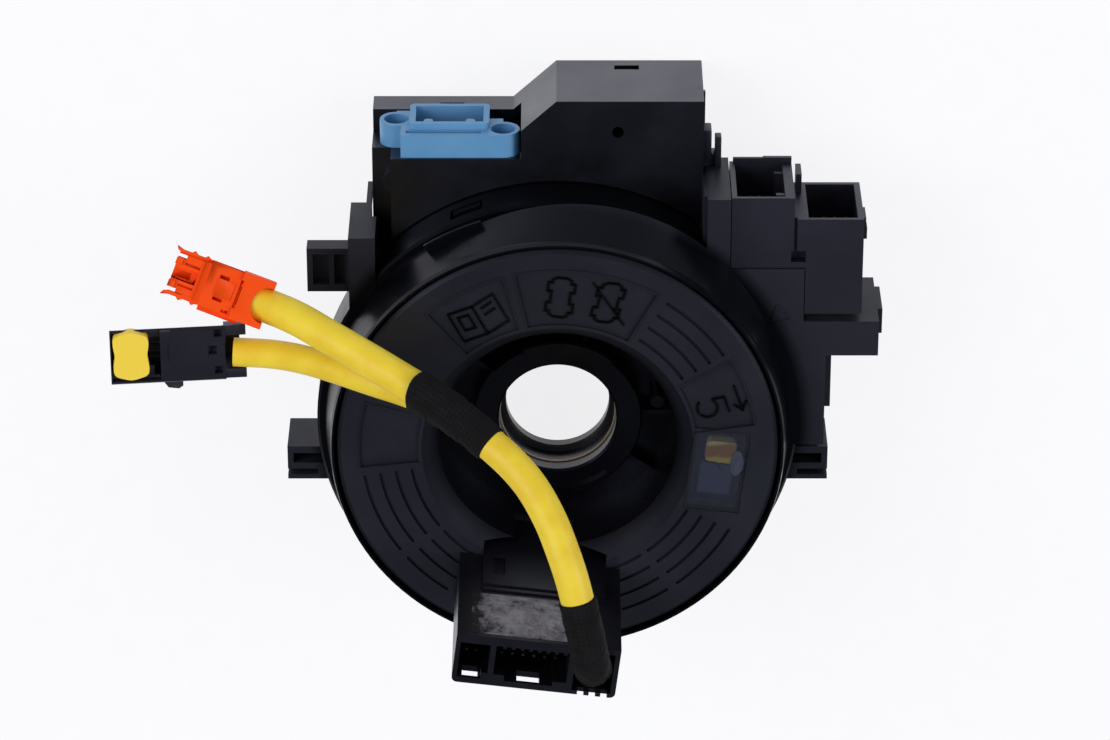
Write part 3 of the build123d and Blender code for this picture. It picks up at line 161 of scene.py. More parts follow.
@dataclass(frozen=True)
class MouldedPolymer(Finish):
    """A glass-filled PBT or ABS moulding from a spark-eroded tool.

    The tool's grain breaks the gloss into a soft, slightly uneven sheen, and handling leaves
    faint pale dust in patches. Inside its zone the colour is darkened as painted shade.
    """

    colour: str
    dust: str
    grain_mm: float = 0.55      # real grain is about 0.1 mm; drawn coarser so that it shows
    grain_depth_mm: float = 0.012
    patch_mm: float = 26.0      # a patch of dust is about a fingertip wide
    dust_most: float = 0.2
    roughness: float = 0.42
    specular: float = 0.5
    ior: float = 1.52
    # tint of the reflections; a cool tint paints in the colour of a cool light
    gloss: str = "ffffff"
    zone_mm: float = 0.0        # inside this radius round the axis the tool was given a finer polish, and the colour is darkened as painted shade
    # the darker colour inside the zone: painted shade
    painted_shade_colour: str = "000000"
    zone_blur_mm: float = 1.5
    zone_polish: float = -0.12

    def surface(self, tree: bpy.types.NodeTree) -> dict[str, Any]:
        """Lay the grain, the dust and, inside its zone, the polish and the painted shade."""
        place = add_node(tree, "TexCoord").outputs["Object"]
        grain = add_node(tree, "TexNoise", inputs={
            "Vector": place, "Scale": scale_for(self.grain_mm), "Detail": 2.0, "Roughness": 0.6})
        patches = add_node(tree, "TexNoise", inputs={
            "Vector": place, "Scale": scale_for(self.patch_mm), "Detail": 4.0, "Roughness": 0.62})
        dust_share = add_node(tree, "MapRange", inputs={
            0: patches, 1: 0.45, 2: 0.78, 3: 0.0, 4: self.dust_most})
        colour = add_node(tree, "MixRGB", inputs={
            "Fac": dust_share, "Color1": linear(self.colour), "Color2": linear(self.dust)})
        dull = add_node(tree, "MapRange", inputs={
            0: patches, 1: 0.3, 2: 0.75, 3: self.roughness - 0.06, 4: self.roughness + 0.12})
        # Inside the zone the colour turns to the painted shade colour, and the roughness drops for the
        # polish.
        if self.zone_mm:
            flat = add_node(tree, "VectorMath", {"operation": "MULTIPLY"}, {
                0: place, 1: (1.0, 1.0, 0.0)})
            radius = add_node(tree, "VectorMath", {"operation": "LENGTH"}, {0: flat})
            inside = add_node(tree, "MapRange", inputs={
                0: radius.outputs["Value"], 1: (self.zone_mm - self.zone_blur_mm) * MM,
                2: (self.zone_mm + self.zone_blur_mm) * MM, 3: 1.0, 4: 0.0})
            colour = add_node(tree, "MixRGB", inputs={
                "Fac": inside, "Color1": colour, "Color2": linear(self.painted_shade_colour)})
            dull = add_node(tree, "Math", {"operation": "MULTIPLY_ADD"}, {
                0: inside, 1: self.zone_polish, 2: dull})
        bump = add_node(tree, "Bump", inputs={
            "Strength": 0.55, "Distance": self.grain_depth_mm * MM, "Height": grain})
        return {
            "Base Color": colour,
            "Roughness": dull,
            "Normal": bump,
            "IOR": self.ior,
            "Specular IOR Level": self.specular,
            "Specular Tint": linear(self.gloss),
        }


@dataclass(frozen=True)
class VinylSleeve(Finish):
    """An extruded PVC airbag sleeve.

    Extrusion leaves fine lines along it, and handling leaves soft dents that break its sheen.
    """

    colour: str
    shade: str
    dent_mm: float = 7.0
    dent_depth_mm: float = 0.25
    skin_mm: float = 0.6        # drawn coarser than the real skin so that it shows
    skin_depth_mm: float = 0.012
    roughness: float = 0.48
    ior: float = 1.53

    def surface(self, tree: bpy.types.NodeTree) -> dict[str, Any]:
        """Lay the dents, with painted shade in their hollows, and the skin."""
        place = add_node(tree, "TexCoord").outputs["Object"]
        dents = add_node(tree, "TexNoise", inputs={
            "Vector": place, "Scale": scale_for(self.dent_mm), "Detail": 2.0})
        skin = add_node(tree, "TexNoise", inputs={
            "Vector": place, "Scale": scale_for(self.skin_mm), "Detail": 3.0})
        # Darker towards the shade colour where the dents sink: painted shade in their hollows.
        colour = add_node(tree, "ValToRGB", inputs={"Fac": dents},
                          stops=[(0.3, self.shade), (0.62, self.colour)])
        dull = add_node(tree, "MapRange", inputs={
            0: skin, 1: 0.3, 2: 0.7, 3: self.roughness - 0.05, 4: self.roughness + 0.1})
        wave = add_node(tree, "Bump", inputs={
            "Strength": 0.5, "Distance": self.dent_depth_mm * MM, "Height": dents})
        bump = add_node(tree, "Bump", inputs={
            "Strength": 0.4, "Distance": self.skin_depth_mm * MM, "Height": skin,
            "Normal": wave})
        return {
            "Base Color": colour,
            "Roughness": dull,
            "Normal": bump,
            "IOR": self.ior,
            "Subsurface Weight": 0.06,
            "Subsurface Scale": 1.0 * MM,
        }


@dataclass(frozen=True)
class ClothTape(Finish):
    """Polyester cloth harness tape: a fine plain weave under a matt black face."""

    colour: str
    glint: str
    thread_mm: float = 0.5      # real threads are 0.25 mm apart; drawn coarser so that they show
    thread_depth_mm: float = 0.05
    glint_patch_mm: float = 3.0

    def surface(self, tree: bpy.types.NodeTree) -> dict[str, Any]:
        """Lay the weave, with a painted glint on its threads in patches."""
        place = add_node(tree, "UVMap").outputs["UV"]
        threads = [add_node(tree, "TexWave", {"wave_type": "BANDS", "bands_direction": direction}, {
            "Vector": place, "Scale": scale_for(self.thread_mm) / math.tau * MM, "Distortion": 0.4,
        }).outputs["Fac"] for direction in ("X", "Y")]
        weave = add_node(tree, "Math", {"operation": "MAXIMUM"}, dict(enumerate(threads)))
        glint_patches = add_node(tree, "TexNoise", inputs={
            "Vector": add_node(tree, "TexCoord").outputs["Object"],
            "Scale": scale_for(self.glint_patch_mm), "Detail": 4.0})
        share = add_node(tree, "Math", {"operation": "MULTIPLY"}, {0: weave, 1: glint_patches})
        # Where the threads and the patches meet, the colour lightens to the glint: a painted glint.
        colour = add_node(tree, "ValToRGB", inputs={"Fac": share},
                          stops=[(0.2, self.colour), (0.75, self.glint)])
        bump = add_node(tree, "Bump", inputs={
            "Strength": 0.6, "Distance": self.thread_depth_mm * MM, "Height": weave})
        return {
            "Base Color": colour,
            "Normal": bump,
            "Roughness": 0.85,
            "Specular IOR Level": 0.25,
        }


@dataclass(frozen=True)
class PottingCompound(Finish):
    """Grey epoxy potting poured against the wall: blotched, with dark flecks, darker towards its edges;
    its pale grey is a painted reflection of the bright bore.
    """

    # The pale grey stands for the bright bore reflected on the tower's wall: painted reflection.
    pale: str
    grey: str
    dark: str
    blotch_mm: float = 4.5
    fleck_mm: float = 1.1
    pit_depth_mm: float = 0.12
    middle: Flat = (0.58, 0.45)     # of its box, from which the darkening towards its edges is measured

    def surface(self, tree: bpy.types.NodeTree) -> dict[str, Any]:
        """Lay the blotches and the flecks, and darken them towards the edge."""
        place = add_node(tree, "TexCoord")
        blotches = add_node(tree, "TexNoise", inputs={
            "Vector": place.outputs["Object"], "Scale": scale_for(self.blotch_mm), "Detail": 7.0,
            "Roughness": 0.72})
        flecks = add_node(tree, "TexNoise", inputs={
            "Vector": place.outputs["Object"], "Scale": scale_for(self.fleck_mm), "Detail": 5.0,
            "Roughness": 0.8})
        mixed = add_node(tree, "Math", {"operation": "MULTIPLY"}, {0: blotches, 1: 0.7})
        total = add_node(tree, "Math", {"operation": "MULTIPLY_ADD"}, {0: flecks, 1: 0.3, 2: mixed})
        split = add_node(tree, "SeparateXYZ", inputs={0: place.outputs["Generated"]})
        edge_offsets = []
        for axis, middle in zip("XY", self.middle):
            off = add_node(tree, "Math", {"operation": "SUBTRACT"}, {0: split.outputs[axis], 1: middle})
            size = add_node(tree, "Math", {"operation": "ABSOLUTE"}, {0: off})
            edge_offsets.append(size)
        edge = add_node(tree, "Math", {"operation": "MAXIMUM"}, dict(enumerate(edge_offsets)))
        edge_darkening = add_node(tree, "MapRange", inputs={0: edge, 1: 0.3, 2: 0.56, 3: 0.0, 4: 0.16})
        kept = add_node(tree, "Math", {"operation": "SUBTRACT"}, {0: total, 1: edge_darkening})
        colour = add_node(tree, "ValToRGB", inputs={"Fac": kept},
                          stops=[(0.36, self.dark), (0.43, self.grey), (0.56, self.pale)])
        bump = add_node(tree, "Bump", inputs={
            "Strength": 0.7, "Distance": self.pit_depth_mm * MM, "Height": total})
        return {"Base Color": colour, "Normal": bump, "Roughness": 0.55}


@dataclass(frozen=True)
class PlatedMetal(Finish):
    """A plated metal part: tinned contacts or zinc-plated screws, with faint drawing marks."""

    colour: str
    roughness: float
    mark_mm: float = 0.8
    mark_depth_mm: float = 0.01

    def surface(self, tree: bpy.types.NodeTree) -> dict[str, Any]:
        """Lay the drawing marks."""
        marks = add_node(tree, "TexNoise", inputs={
            "Vector": add_node(tree, "TexCoord").outputs["Object"],
            "Scale": scale_for(self.mark_mm), "Detail": 3.0})
        dull = add_node(tree, "MapRange", inputs={
            0: marks, 1: 0.3, 2: 0.7, 3: self.roughness - 0.07, 4: self.roughness + 0.12})
        bump = add_node(tree, "Bump", inputs={
            "Strength": 0.3, "Distance": self.mark_depth_mm * MM, "Height": marks})
        return {
            "Base Color": linear(self.colour),
            "Metallic": 1.0,
            "Roughness": dull,
            "Normal": bump,
        }


@dataclass(frozen=True)
class ClearPolycarbonate(Finish):
    """A clear moulded polycarbonate window, with faint haze where it was handled."""

    tint: str
    haze_mm: float = 5.0

    def surface(self, tree: bpy.types.NodeTree) -> dict[str, Any]:
        """Lay the haze."""
        haze = add_node(tree, "TexNoise", inputs={
            "Vector": add_node(tree, "TexCoord").outputs["Object"],
            "Scale": scale_for(self.haze_mm), "Detail": 4.0})
        dull = add_node(tree, "MapRange", inputs={0: haze, 1: 0.35, 2: 0.75, 3: 0.05, 4: 0.22})
        return {
            "Base Color": linear(self.tint),
            "Roughness": dull,
            "Transmission Weight": 0.97,
            "IOR": 1.3,
            "Specular IOR Level": 0.2,
        }


@dataclass(frozen=True)
class FlagWithPaintedShade(Finish):
    """A moulded yellow flag with painted light on its curved face: a painted highlight along its rim and
    painted shade through its middle, over its own yellow at the foot.
    """

    # rim: painted highlight colour; middle: painted shade colour; foot: the flag's own yellow
    rim: str
    middle: str
    foot: str
    cloud_mm: float = 4.0

    def surface(self, tree: bpy.types.NodeTree) -> dict[str, Any]:
        """Paint the shade and the highlight along the face's height, a little unevenly."""
        place = add_node(tree, "TexCoord")
        split = add_node(tree, "SeparateXYZ", inputs={0: place.outputs["Generated"]})
        cloud = add_node(tree, "TexNoise", inputs={
            "Vector": place.outputs["Object"], "Scale": scale_for(self.cloud_mm), "Detail": 2.0})
        height = add_node(tree, "Math", {"operation": "MULTIPLY_ADD"}, {
            0: cloud, 1: 0.16, 2: split.outputs["Y"]})
        # The ramp runs from the own yellow at the foot through painted shade to a painted highlight at
        # the rim.
        colour = add_node(tree, "ValToRGB", inputs={"Fac": height}, stops=[
            (0.08, self.foot), (0.3, self.foot), (0.42, self.middle), (0.82, self.middle),
            (0.98, self.rim)])
        return {"Base Color": colour, "Roughness": 0.35}


PALE_DUST = "2c2d36"
# Cool tint for the dark plastics' reflections: the painted colour of a cool light in their gloss.
COOL_LIGHT_TINT = "d9dfff"
FINISHES = {
    # The case is paler outside the zone as painted light on the wing and the brackets, and near black
    # inside it as painted shade on the ring and the shoulder.
    "case": MouldedPolymer("black_pbt_moulded", "26272f", "34353e", roughness=0.42, specular=0.16,
                           gloss=COOL_LIGHT_TINT, zone_mm=58.6, painted_shade_colour="07080c"),
    "box": MouldedPolymer("charcoal_pbt_moulded", "08080c", PALE_DUST, roughness=0.32, specular=0.62,
                          ior=1.6, gloss=COOL_LIGHT_TINT),
    # Near black inside the zone: painted shade in the hub's deep well.
    "rotor": MouldedPolymer("black_pom_moulded", "1d1e25", PALE_DUST, roughness=0.38, specular=0.44,
                            gloss=COOL_LIGHT_TINT, zone_mm=28.8, painted_shade_colour="050508"),
    "tower": MouldedPolymer("black_pbt_tower", "0b0b11", PALE_DUST, roughness=0.38, gloss=COOL_LIGHT_TINT),
    "sockets": MouldedPolymer("black_pbt_socket", "1c1c24", "2f303a", roughness=0.44, gloss=COOL_LIGHT_TINT),
    "blue": MouldedPolymer("blue_pbt_moulded", "5895c6", "9cc4e8", roughness=0.42),
    # Near black, darker than the rotor they are moulded from: painted shade along the pictograms' raised
    # lines.
    "polished_painted_shade": MouldedPolymer("black_pom_polished_painted_shade", "030305", "08080a", roughness=0.2, specular=0.3),
    # Its own grey darkened to near black: painted shade for the gap between the hub and the sleeve.
    "sleeve_ring": MouldedPolymer("grey_pom_ring_painted_shade", "1a1a1f", "2c2c31", roughness=0.32),
    "gear": MouldedPolymer("white_pom_moulded", "d8d6cf", "e6e4dd", roughness=0.38),
    "magnet": MouldedPolymer("dark_ferrite_sintered", "2c2c2e", "4a4a4c", roughness=0.6),
    "board": MouldedPolymer("green_solder_mask", "12402a", "2a5a41", roughness=0.3),
    "film": MouldedPolymer("polyester_film_laminated", "b7a47c", "c8b994", roughness=0.25),
    "flag": FlagWithPaintedShade("yellow_pom_painted_shade", "ffe07a", "c58634", "ffd64e"),
    "tab": MouldedPolymer("grey_pom_moulded", "5c5963", "6c6a74", roughness=0.5, specular=0.3),
    "orange": MouldedPolymer("orange_pbt_moulded", "ff4f02", "ff5a08", roughness=0.5, specular=0.2),
    "plug": MouldedPolymer("black_pbt_plug", "17171f", PALE_DUST, roughness=0.42, gloss=COOL_LIGHT_TINT),
    "lock": MouldedPolymer("yellow_pbt_moulded", "fbd93e", "fbe27a", roughness=0.42),
    "yellow": VinylSleeve("yellow_pvc_extruded", "f7da34", "efca26"),
    "tape": ClothTape("black_cloth_tape_woven", "060608", "141418"),
    "potting": PottingCompound("grey_epoxy_painted_reflection", "9a989f", "6c6a72", "17171c"),
    "contact": PlatedMetal("tinned_brass", "5f5c55", 0.42),
    "screw": PlatedMetal("zinc_plated_steel", "b8bac0", 0.32),
    # Pale brownish grey: a painted highlight line round the hub's bore.
    "bore_highlight_ring": MouldedPolymer("pale_pom_painted_highlight", "93836c", "a5957e", roughness=0.3),
    "pipe": MouldedPolymer("milky_polycarbonate_moulded", "5b5d66", "6c6d74", roughness=0.25),
    "lens": ClearPolycarbonate("clear_polycarbonate_moulded", "c3cbe6"),
}

NODE_FINISH = {
    "case": ("outer_case", "case_floor"),
    "film": ("flat_cable",),
    "box": ("sensor_box", "sensor_cover"),
    "board": ("sensor_board",),
    "blue": ("board_socket",),
    "contact": ("board_pins", "wing_pins_a", "wing_pins_b", "tower_pins_a", "tower_pins_b"),
    "sockets": ("wing_sockets",),
    "gear": ("sensor_gear_a", "sensor_gear_b"),
    "magnet": ("sensor_magnet_a", "sensor_magnet_b"),
    "rotor": ("rotor_face", "flag_tray"),
    "sleeve_ring": ("rotor_sleeve",),
    "tower": ("connector_tower",),
    "potting": ("tower_potting",),
    "lens": ("window_lens",),
    "flag": ("neutral_flag",),
    "tab": ("flag_tab",),
    "screw": ("cover_screw_1", "cover_screw_2", "cover_screw_3", "cover_screw_4"),
}


class FinishShop:
    """Makes each finish once and puts it on pieces."""

    def __init__(self) -> None:
        """Start with no material made."""
        self.made: dict[str, bpy.types.Material] = {}

    def material(self, key: str) -> bpy.types.Material:
        """Give a finish's material, made on its first use."""
        if key not in self.made:
            self.made[key] = FINISHES[key].build()
        return self.made[key]

    def dress(self, piece: bpy.types.Object, key: str) -> None:
        """Put one finish on a whole piece."""
        piece.data.materials.clear()
        piece.data.materials.append(self.material(key))
        LOG.info("%s: %s", piece.name, key)

    def fit(self, piece: bpy.types.Object, key: str, body: Body,
            node: str | None = None) -> None:
        """Dress a new piece and set it on its body.

        Args:
            piece: The new piece.
            key: Its finish.
            body: The body that carries it.
            node: The CAD node that it stands for, if any.
        """
        self.dress(piece, key)
        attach(piece, body.value)
        if node:
            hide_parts(node)


def new_piece(name: str, data: bpy.types.ID) -> bpy.types.Object:
    """Put a mesh, a curve, a lamp or a camera into the scene as an object."""
    piece = bpy.data.objects.new(name, data)
    bpy.context.scene.collection.objects.link(piece)
    return piece


# ---------------------------------------------------------------- studio
@dataclass
class Studio:
    """Camera, lamps, floor and world."""

    tilt_deg: float = 27.19
    camera_at: Point = (-0.0006, 0.5192, 1.0199)
    lens_mm: float = 152.7
    sensor_mm: float = 36.0
    far_clip: float = 10.0
    aim: Point = (0.0, 0.0, 0.03)
    floor_half: float = 3.0
    floor_z: float = -0.0002
    paper_grain: float = 900.0
    halo: Flat = (0.13, 0.27)   # how far out the paper that gloss sees starts and ends to darken
    dark_floor: float = 0.12
    room_light: float = 0.34
    room_gloss: float = 0.1

    def build(self) -> None:
        """Make the whole studio."""
        self.camera()
        self.lamps()
        self.floor()
        self.world()
        bpy.context.scene.view_settings.view_transform = "Standard"

    def camera(self) -> None:
        """Stand the camera above the driver's side, tilted to look down the part."""
        data = bpy.data.cameras.new("camera")
        data.lens = self.lens_mm
        data.sensor_width = self.sensor_mm
        data.clip_end = self.far_clip
        camera = new_piece("camera", data)
        camera.location = self.camera_at
        camera.rotation_euler = (math.radians(-self.tilt_deg), 0, 0)
        bpy.context.scene.camera = camera

    def lamps(self) -> None:
        """Hang three soft boxes round the part."""
        for name, at, size, power in (
            ("softbox_left", (-0.75, 0.35, 0.85), 0.7, 6.6),
            ("softbox_right", (0.8, 0.1, 0.7), 0.6, 4.1),
            ("softbox_back", (0.1, -1.1, 0.55), 0.5, 1.6),
        ):
            data = bpy.data.lights.new(name, "AREA")
            data.size = size
            data.energy = power
            lamp = new_piece(name, data)
            lamp.location = at
            lamp.rotation_euler = (Vector(self.aim) - Vector(at)).to_track_quat("-Z", "Y").to_euler()

    def floor(self) -> None:
        """Lay a pale floor that looks white and keeps the part's shadow."""
        mesh = bpy.data.meshes.new("floor")
        half = self.floor_half
        corners = [(-half, -half, 0), (half, -half, 0), (half, half, 0), (-half, half, 0)]
        mesh.from_pydata(corners, [], [(0, 1, 2, 3)])
        mesh.materials.append(self.paper())
        floor = new_piece("floor", mesh)
        floor.location.z = self.floor_z

    def paper(self) -> bpy.types.Material:
        """Make the floor's pale paper, white to the eye, through glass and in near reflections."""
        material = bpy.data.materials.new("pale_paper_sweep")
        material.use_nodes = True
        tree = material.node_tree
        tree.nodes.clear()
        path = add_node(tree, "LightPath")
        plain = add_node(tree, "Math", {"operation": "MAXIMUM"}, {
            0: path.outputs["Is Camera Ray"], 1: path.outputs["Is Transmission Ray"]})
        seen = add_node(tree, "Math", {"operation": "MAXIMUM"}, {
            0: plain, 1: path.outputs["Is Glossy Ray"]})
        grain = add_node(tree, "TexNoise", inputs={"Scale": self.paper_grain, "Detail": 2.0})
        paper = add_node(tree, "BsdfDiffuse", inputs={"Color": linear("e6e6ea")})
        tone = add_node(tree, "MapRange", inputs={0: grain, 1: 0.0, 2: 1.0, 3: 0.84, 4: 0.86})
        place = add_node(tree, "TexCoord").outputs["Object"]
        reach = add_node(tree, "VectorMath", {"operation": "LENGTH"}, {0: place})
        fall = add_node(tree, "MapRange", inputs={
            0: reach.outputs["Value"], 1: self.halo[0], 2: self.halo[1], 3: 1.0, 4: self.dark_floor})
        more = add_node(tree, "Math", {"operation": "SUBTRACT"}, {0: fall, 1: tone})
        gloss = add_node(tree, "Math", {"operation": "MULTIPLY_ADD"}, {
            0: path.outputs["Is Glossy Ray"], 1: more, 2: tone})
        glow = add_node(tree, "Emission", inputs={
            "Color": (0.985, 0.985, 1.0, 1.0), "Strength": gloss})
        dim = add_node(tree, "BsdfDiffuse", inputs={"Color": linear("6c6c70")})
        lit = add_node(tree, "AddShader", inputs={0: glow, 1: dim})
        mix = add_node(tree, "MixShader", inputs={0: seen, 1: paper, 2: lit})
        add_node(tree, "OutputMaterial", inputs={"Surface": mix})
        return material

    def world(self) -> None:
        """Fill the room with a soft even light."""
        world = bpy.data.worlds.new("room")
        world.use_nodes = True
        back = world.node_tree.nodes["Background"]
        gloss = add_node(world.node_tree, "LightPath").outputs["Is Glossy Ray"]
        strength = add_node(world.node_tree, "MapRange", inputs={
            0: gloss, 3: self.room_light, 4: self.room_gloss})
        fill_inputs(world.node_tree, back, {
            "Color": (0.93, 0.95, 1.0, 1.0), "Strength": strength})
        bpy.context.scene.world = world


# ---------------------------------------------------------------- mesh tools
def close_mesh(name: str, bm: bmesh.types.BMesh) -> bpy.types.Mesh:
    """Turn a built mesh's faces outwards and keep it under a name."""
    bmesh.ops.recalc_face_normals(bm, faces=bm.faces)
    mesh = bpy.data.meshes.new(name)
    bm.to_mesh(mesh)
    bm.free()
    return mesh


def shown_mesh(piece: bpy.types.Object) -> bpy.types.Mesh:
    """Copy a piece's mesh as its modifiers or its curve shape it."""
    bpy.context.view_layer.update()
    return bpy.data.meshes.new_from_object(piece.evaluated_get(bpy.context.evaluated_depsgraph_get()))


def spline_points(curve: bpy.types.Object) -> list[Vector]:
    """Read the points that a curve with no bevel follows.

    Args:
        curve: The curve object.

    Returns:
        Its points in order along the curve.
    """
    depth = curve.data.bevel_depth
    curve.data.bevel_depth = 0
    mesh = shown_mesh(curve)
    points = [vertex.co.copy() for vertex in mesh.vertices]
    bpy.data.meshes.remove(mesh)
    curve.data.bevel_depth = depth
    return points


def rotor_point(x_mm: float, y_mm: float, z_mm: float) -> Vector:
    """Turn a point in rotor axes, in millimetres, into the frame's axes, in metres."""
    return Matrix.Rotation(ROTOR_TURN, 3, "Z") @ Vector((x_mm, y_mm, z_mm)) * MM


def polar(radius: float, angle: float) -> Flat:
    """A point from its radius and its angle in degrees."""
    return (radius * math.cos(math.radians(angle)), radius * math.sin(math.radians(angle)))


def oval(middle: Flat, radii: Flat, sides: int = 40) -> tuple[Flat, ...]:
    """Points round an oval."""
    return tuple((middle[0] + radii[0] * math.cos(math.tau * number / sides),
                  middle[1] + radii[1] * math.sin(math.tau * number / sides)) for number in range(sides))


class Across(Enum):
    """The axis that a prism's outline is drawn across."""

    X = 0
    Y = 1
    Z = 2


@dataclass(frozen=True)
class Prism:
    """An outline drawn across one axis and drawn out along it, in millimetres.

    The outline's two numbers are the other two axes in their order: y and z across x, x and z
    across y, x and y across z.
    """

    outline: tuple[Flat, ...]
    low: float
    high: float
    across: Across = Across.Y

    def mesh(self, axes: Matrix) -> bpy.types.Mesh:
        """Make the prism's closed mesh.

        Args:
            axes: The axes it is drawn in, as a matrix that gives metres.

        Returns:
            The mesh, with its faces turned outwards.
        """
        bm = bmesh.new()
        ends = []
        for level in (self.low, self.high):
            ring = []
            for first, second in self.outline:
                place = [first, second]
                place.insert(self.across.value, level)
                ring.append(bm.verts.new(axes @ Vector(place)))
            ends.append(ring)
        count = len(self.outline)
        bm.faces.new(ends[0])
        bm.faces.new(ends[1])
        for number in range(count):
            following = (number + 1) % count
            bm.faces.new((ends[0][number], ends[0][following], ends[1][following], ends[1][number]))
        return close_mesh("prism", bm)


def block(low: Point, high: Point) -> Prism:
    """A plain block between two corners."""
    outline = ((low[0], low[2]), (high[0], low[2]), (high[0], high[2]), (low[0], high[2]))
    return Prism(outline, low[1], high[1])


def disc(middle: Flat, radius: float, low: float, high: float,
         across: Across = Across.Z, sides: int = 40) -> Prism:
    """A round prism."""
    return Prism(oval(middle, (radius, radius), sides), low, high, across)


def carve(name: str, axes: Matrix, solids: Sequence[Prism], cuts: Sequence[Prism] = (),
          edge_mm: float = 0.15) -> bpy.types.Object:
    """Join prisms, cut others out of them and break the edges, as a mould tool does.

    Args:
        name: The piece's name.
        axes: The axes the prisms are drawn in.
        solids: The prisms that are joined.
        cuts: The prisms that are cut away.
        edge_mm: The width of the broken edges.

    Returns:
        The finished object, with no modifier left on it.
    """
    piece = new_piece(name, solids[0].mesh(axes))
    tools = []
    for polygon in piece.data.polygons:
        polygon.use_smooth = True
    for operation, prisms in (("UNION", solids[1:]), ("DIFFERENCE", cuts)):
        for prism in prisms:
            tool = new_piece("tool", prism.mesh(axes))
            tools.append(tool)
            step = piece.modifiers.new(operation, "BOOLEAN")
            step.operation = operation
            step.solver = "EXACT"
            step.object = tool
    bevel = piece.modifiers.new("edges", "BEVEL")
    bevel.width = edge_mm * MM
    bevel.segments = 2
    bevel.limit_method = "ANGLE"
    bevel.angle_limit = BREAK_ANGLE
    even = piece.modifiers.new("even", "WEIGHTED_NORMAL")
    even.keep_sharp = True
    mesh = shown_mesh(piece)
    piece.modifiers.clear()
    piece.data = mesh
    for polygon in mesh.polygons:
        polygon.use_smooth = True
    mesh.set_sharp_from_angle(angle=SHARP_ANGLE)
    for tool in tools:
        bpy.data.objects.remove(tool)
    return piece


def frame_axes() -> Matrix:
    """The frame's own axes, drawn in millimetres."""
    return Matrix.Scale(MM, 4)


def rotor_axes() -> Matrix:
    """The rotor's axes as it stands at rest, drawn in millimetres."""
    return Matrix.Rotation(ROTOR_TURN, 4, "Z") @ Matrix.Scale(MM, 4)


def cable_axes(route: Sequence[Point]) -> Matrix:
    """A plug's axes at a cable's end: x across, y towards its top, z away from the cable.

    Args:
        route: The cable's route as far as the plug's back, in millimetres.

    Returns:
        The axes as a matrix that turns millimetres into metres.
    """
    end = Vector(route[-1])
    along = (end - Vector(route[-2])).normalized()
    across = Vector((0, 0, 1)).cross(along).normalized()
    top = along.cross(across)
    turned = Matrix((across, top, along)).transposed().to_4x4()
    return Matrix.Scale(MM, 4) @ Matrix.Translation(end) @ turned


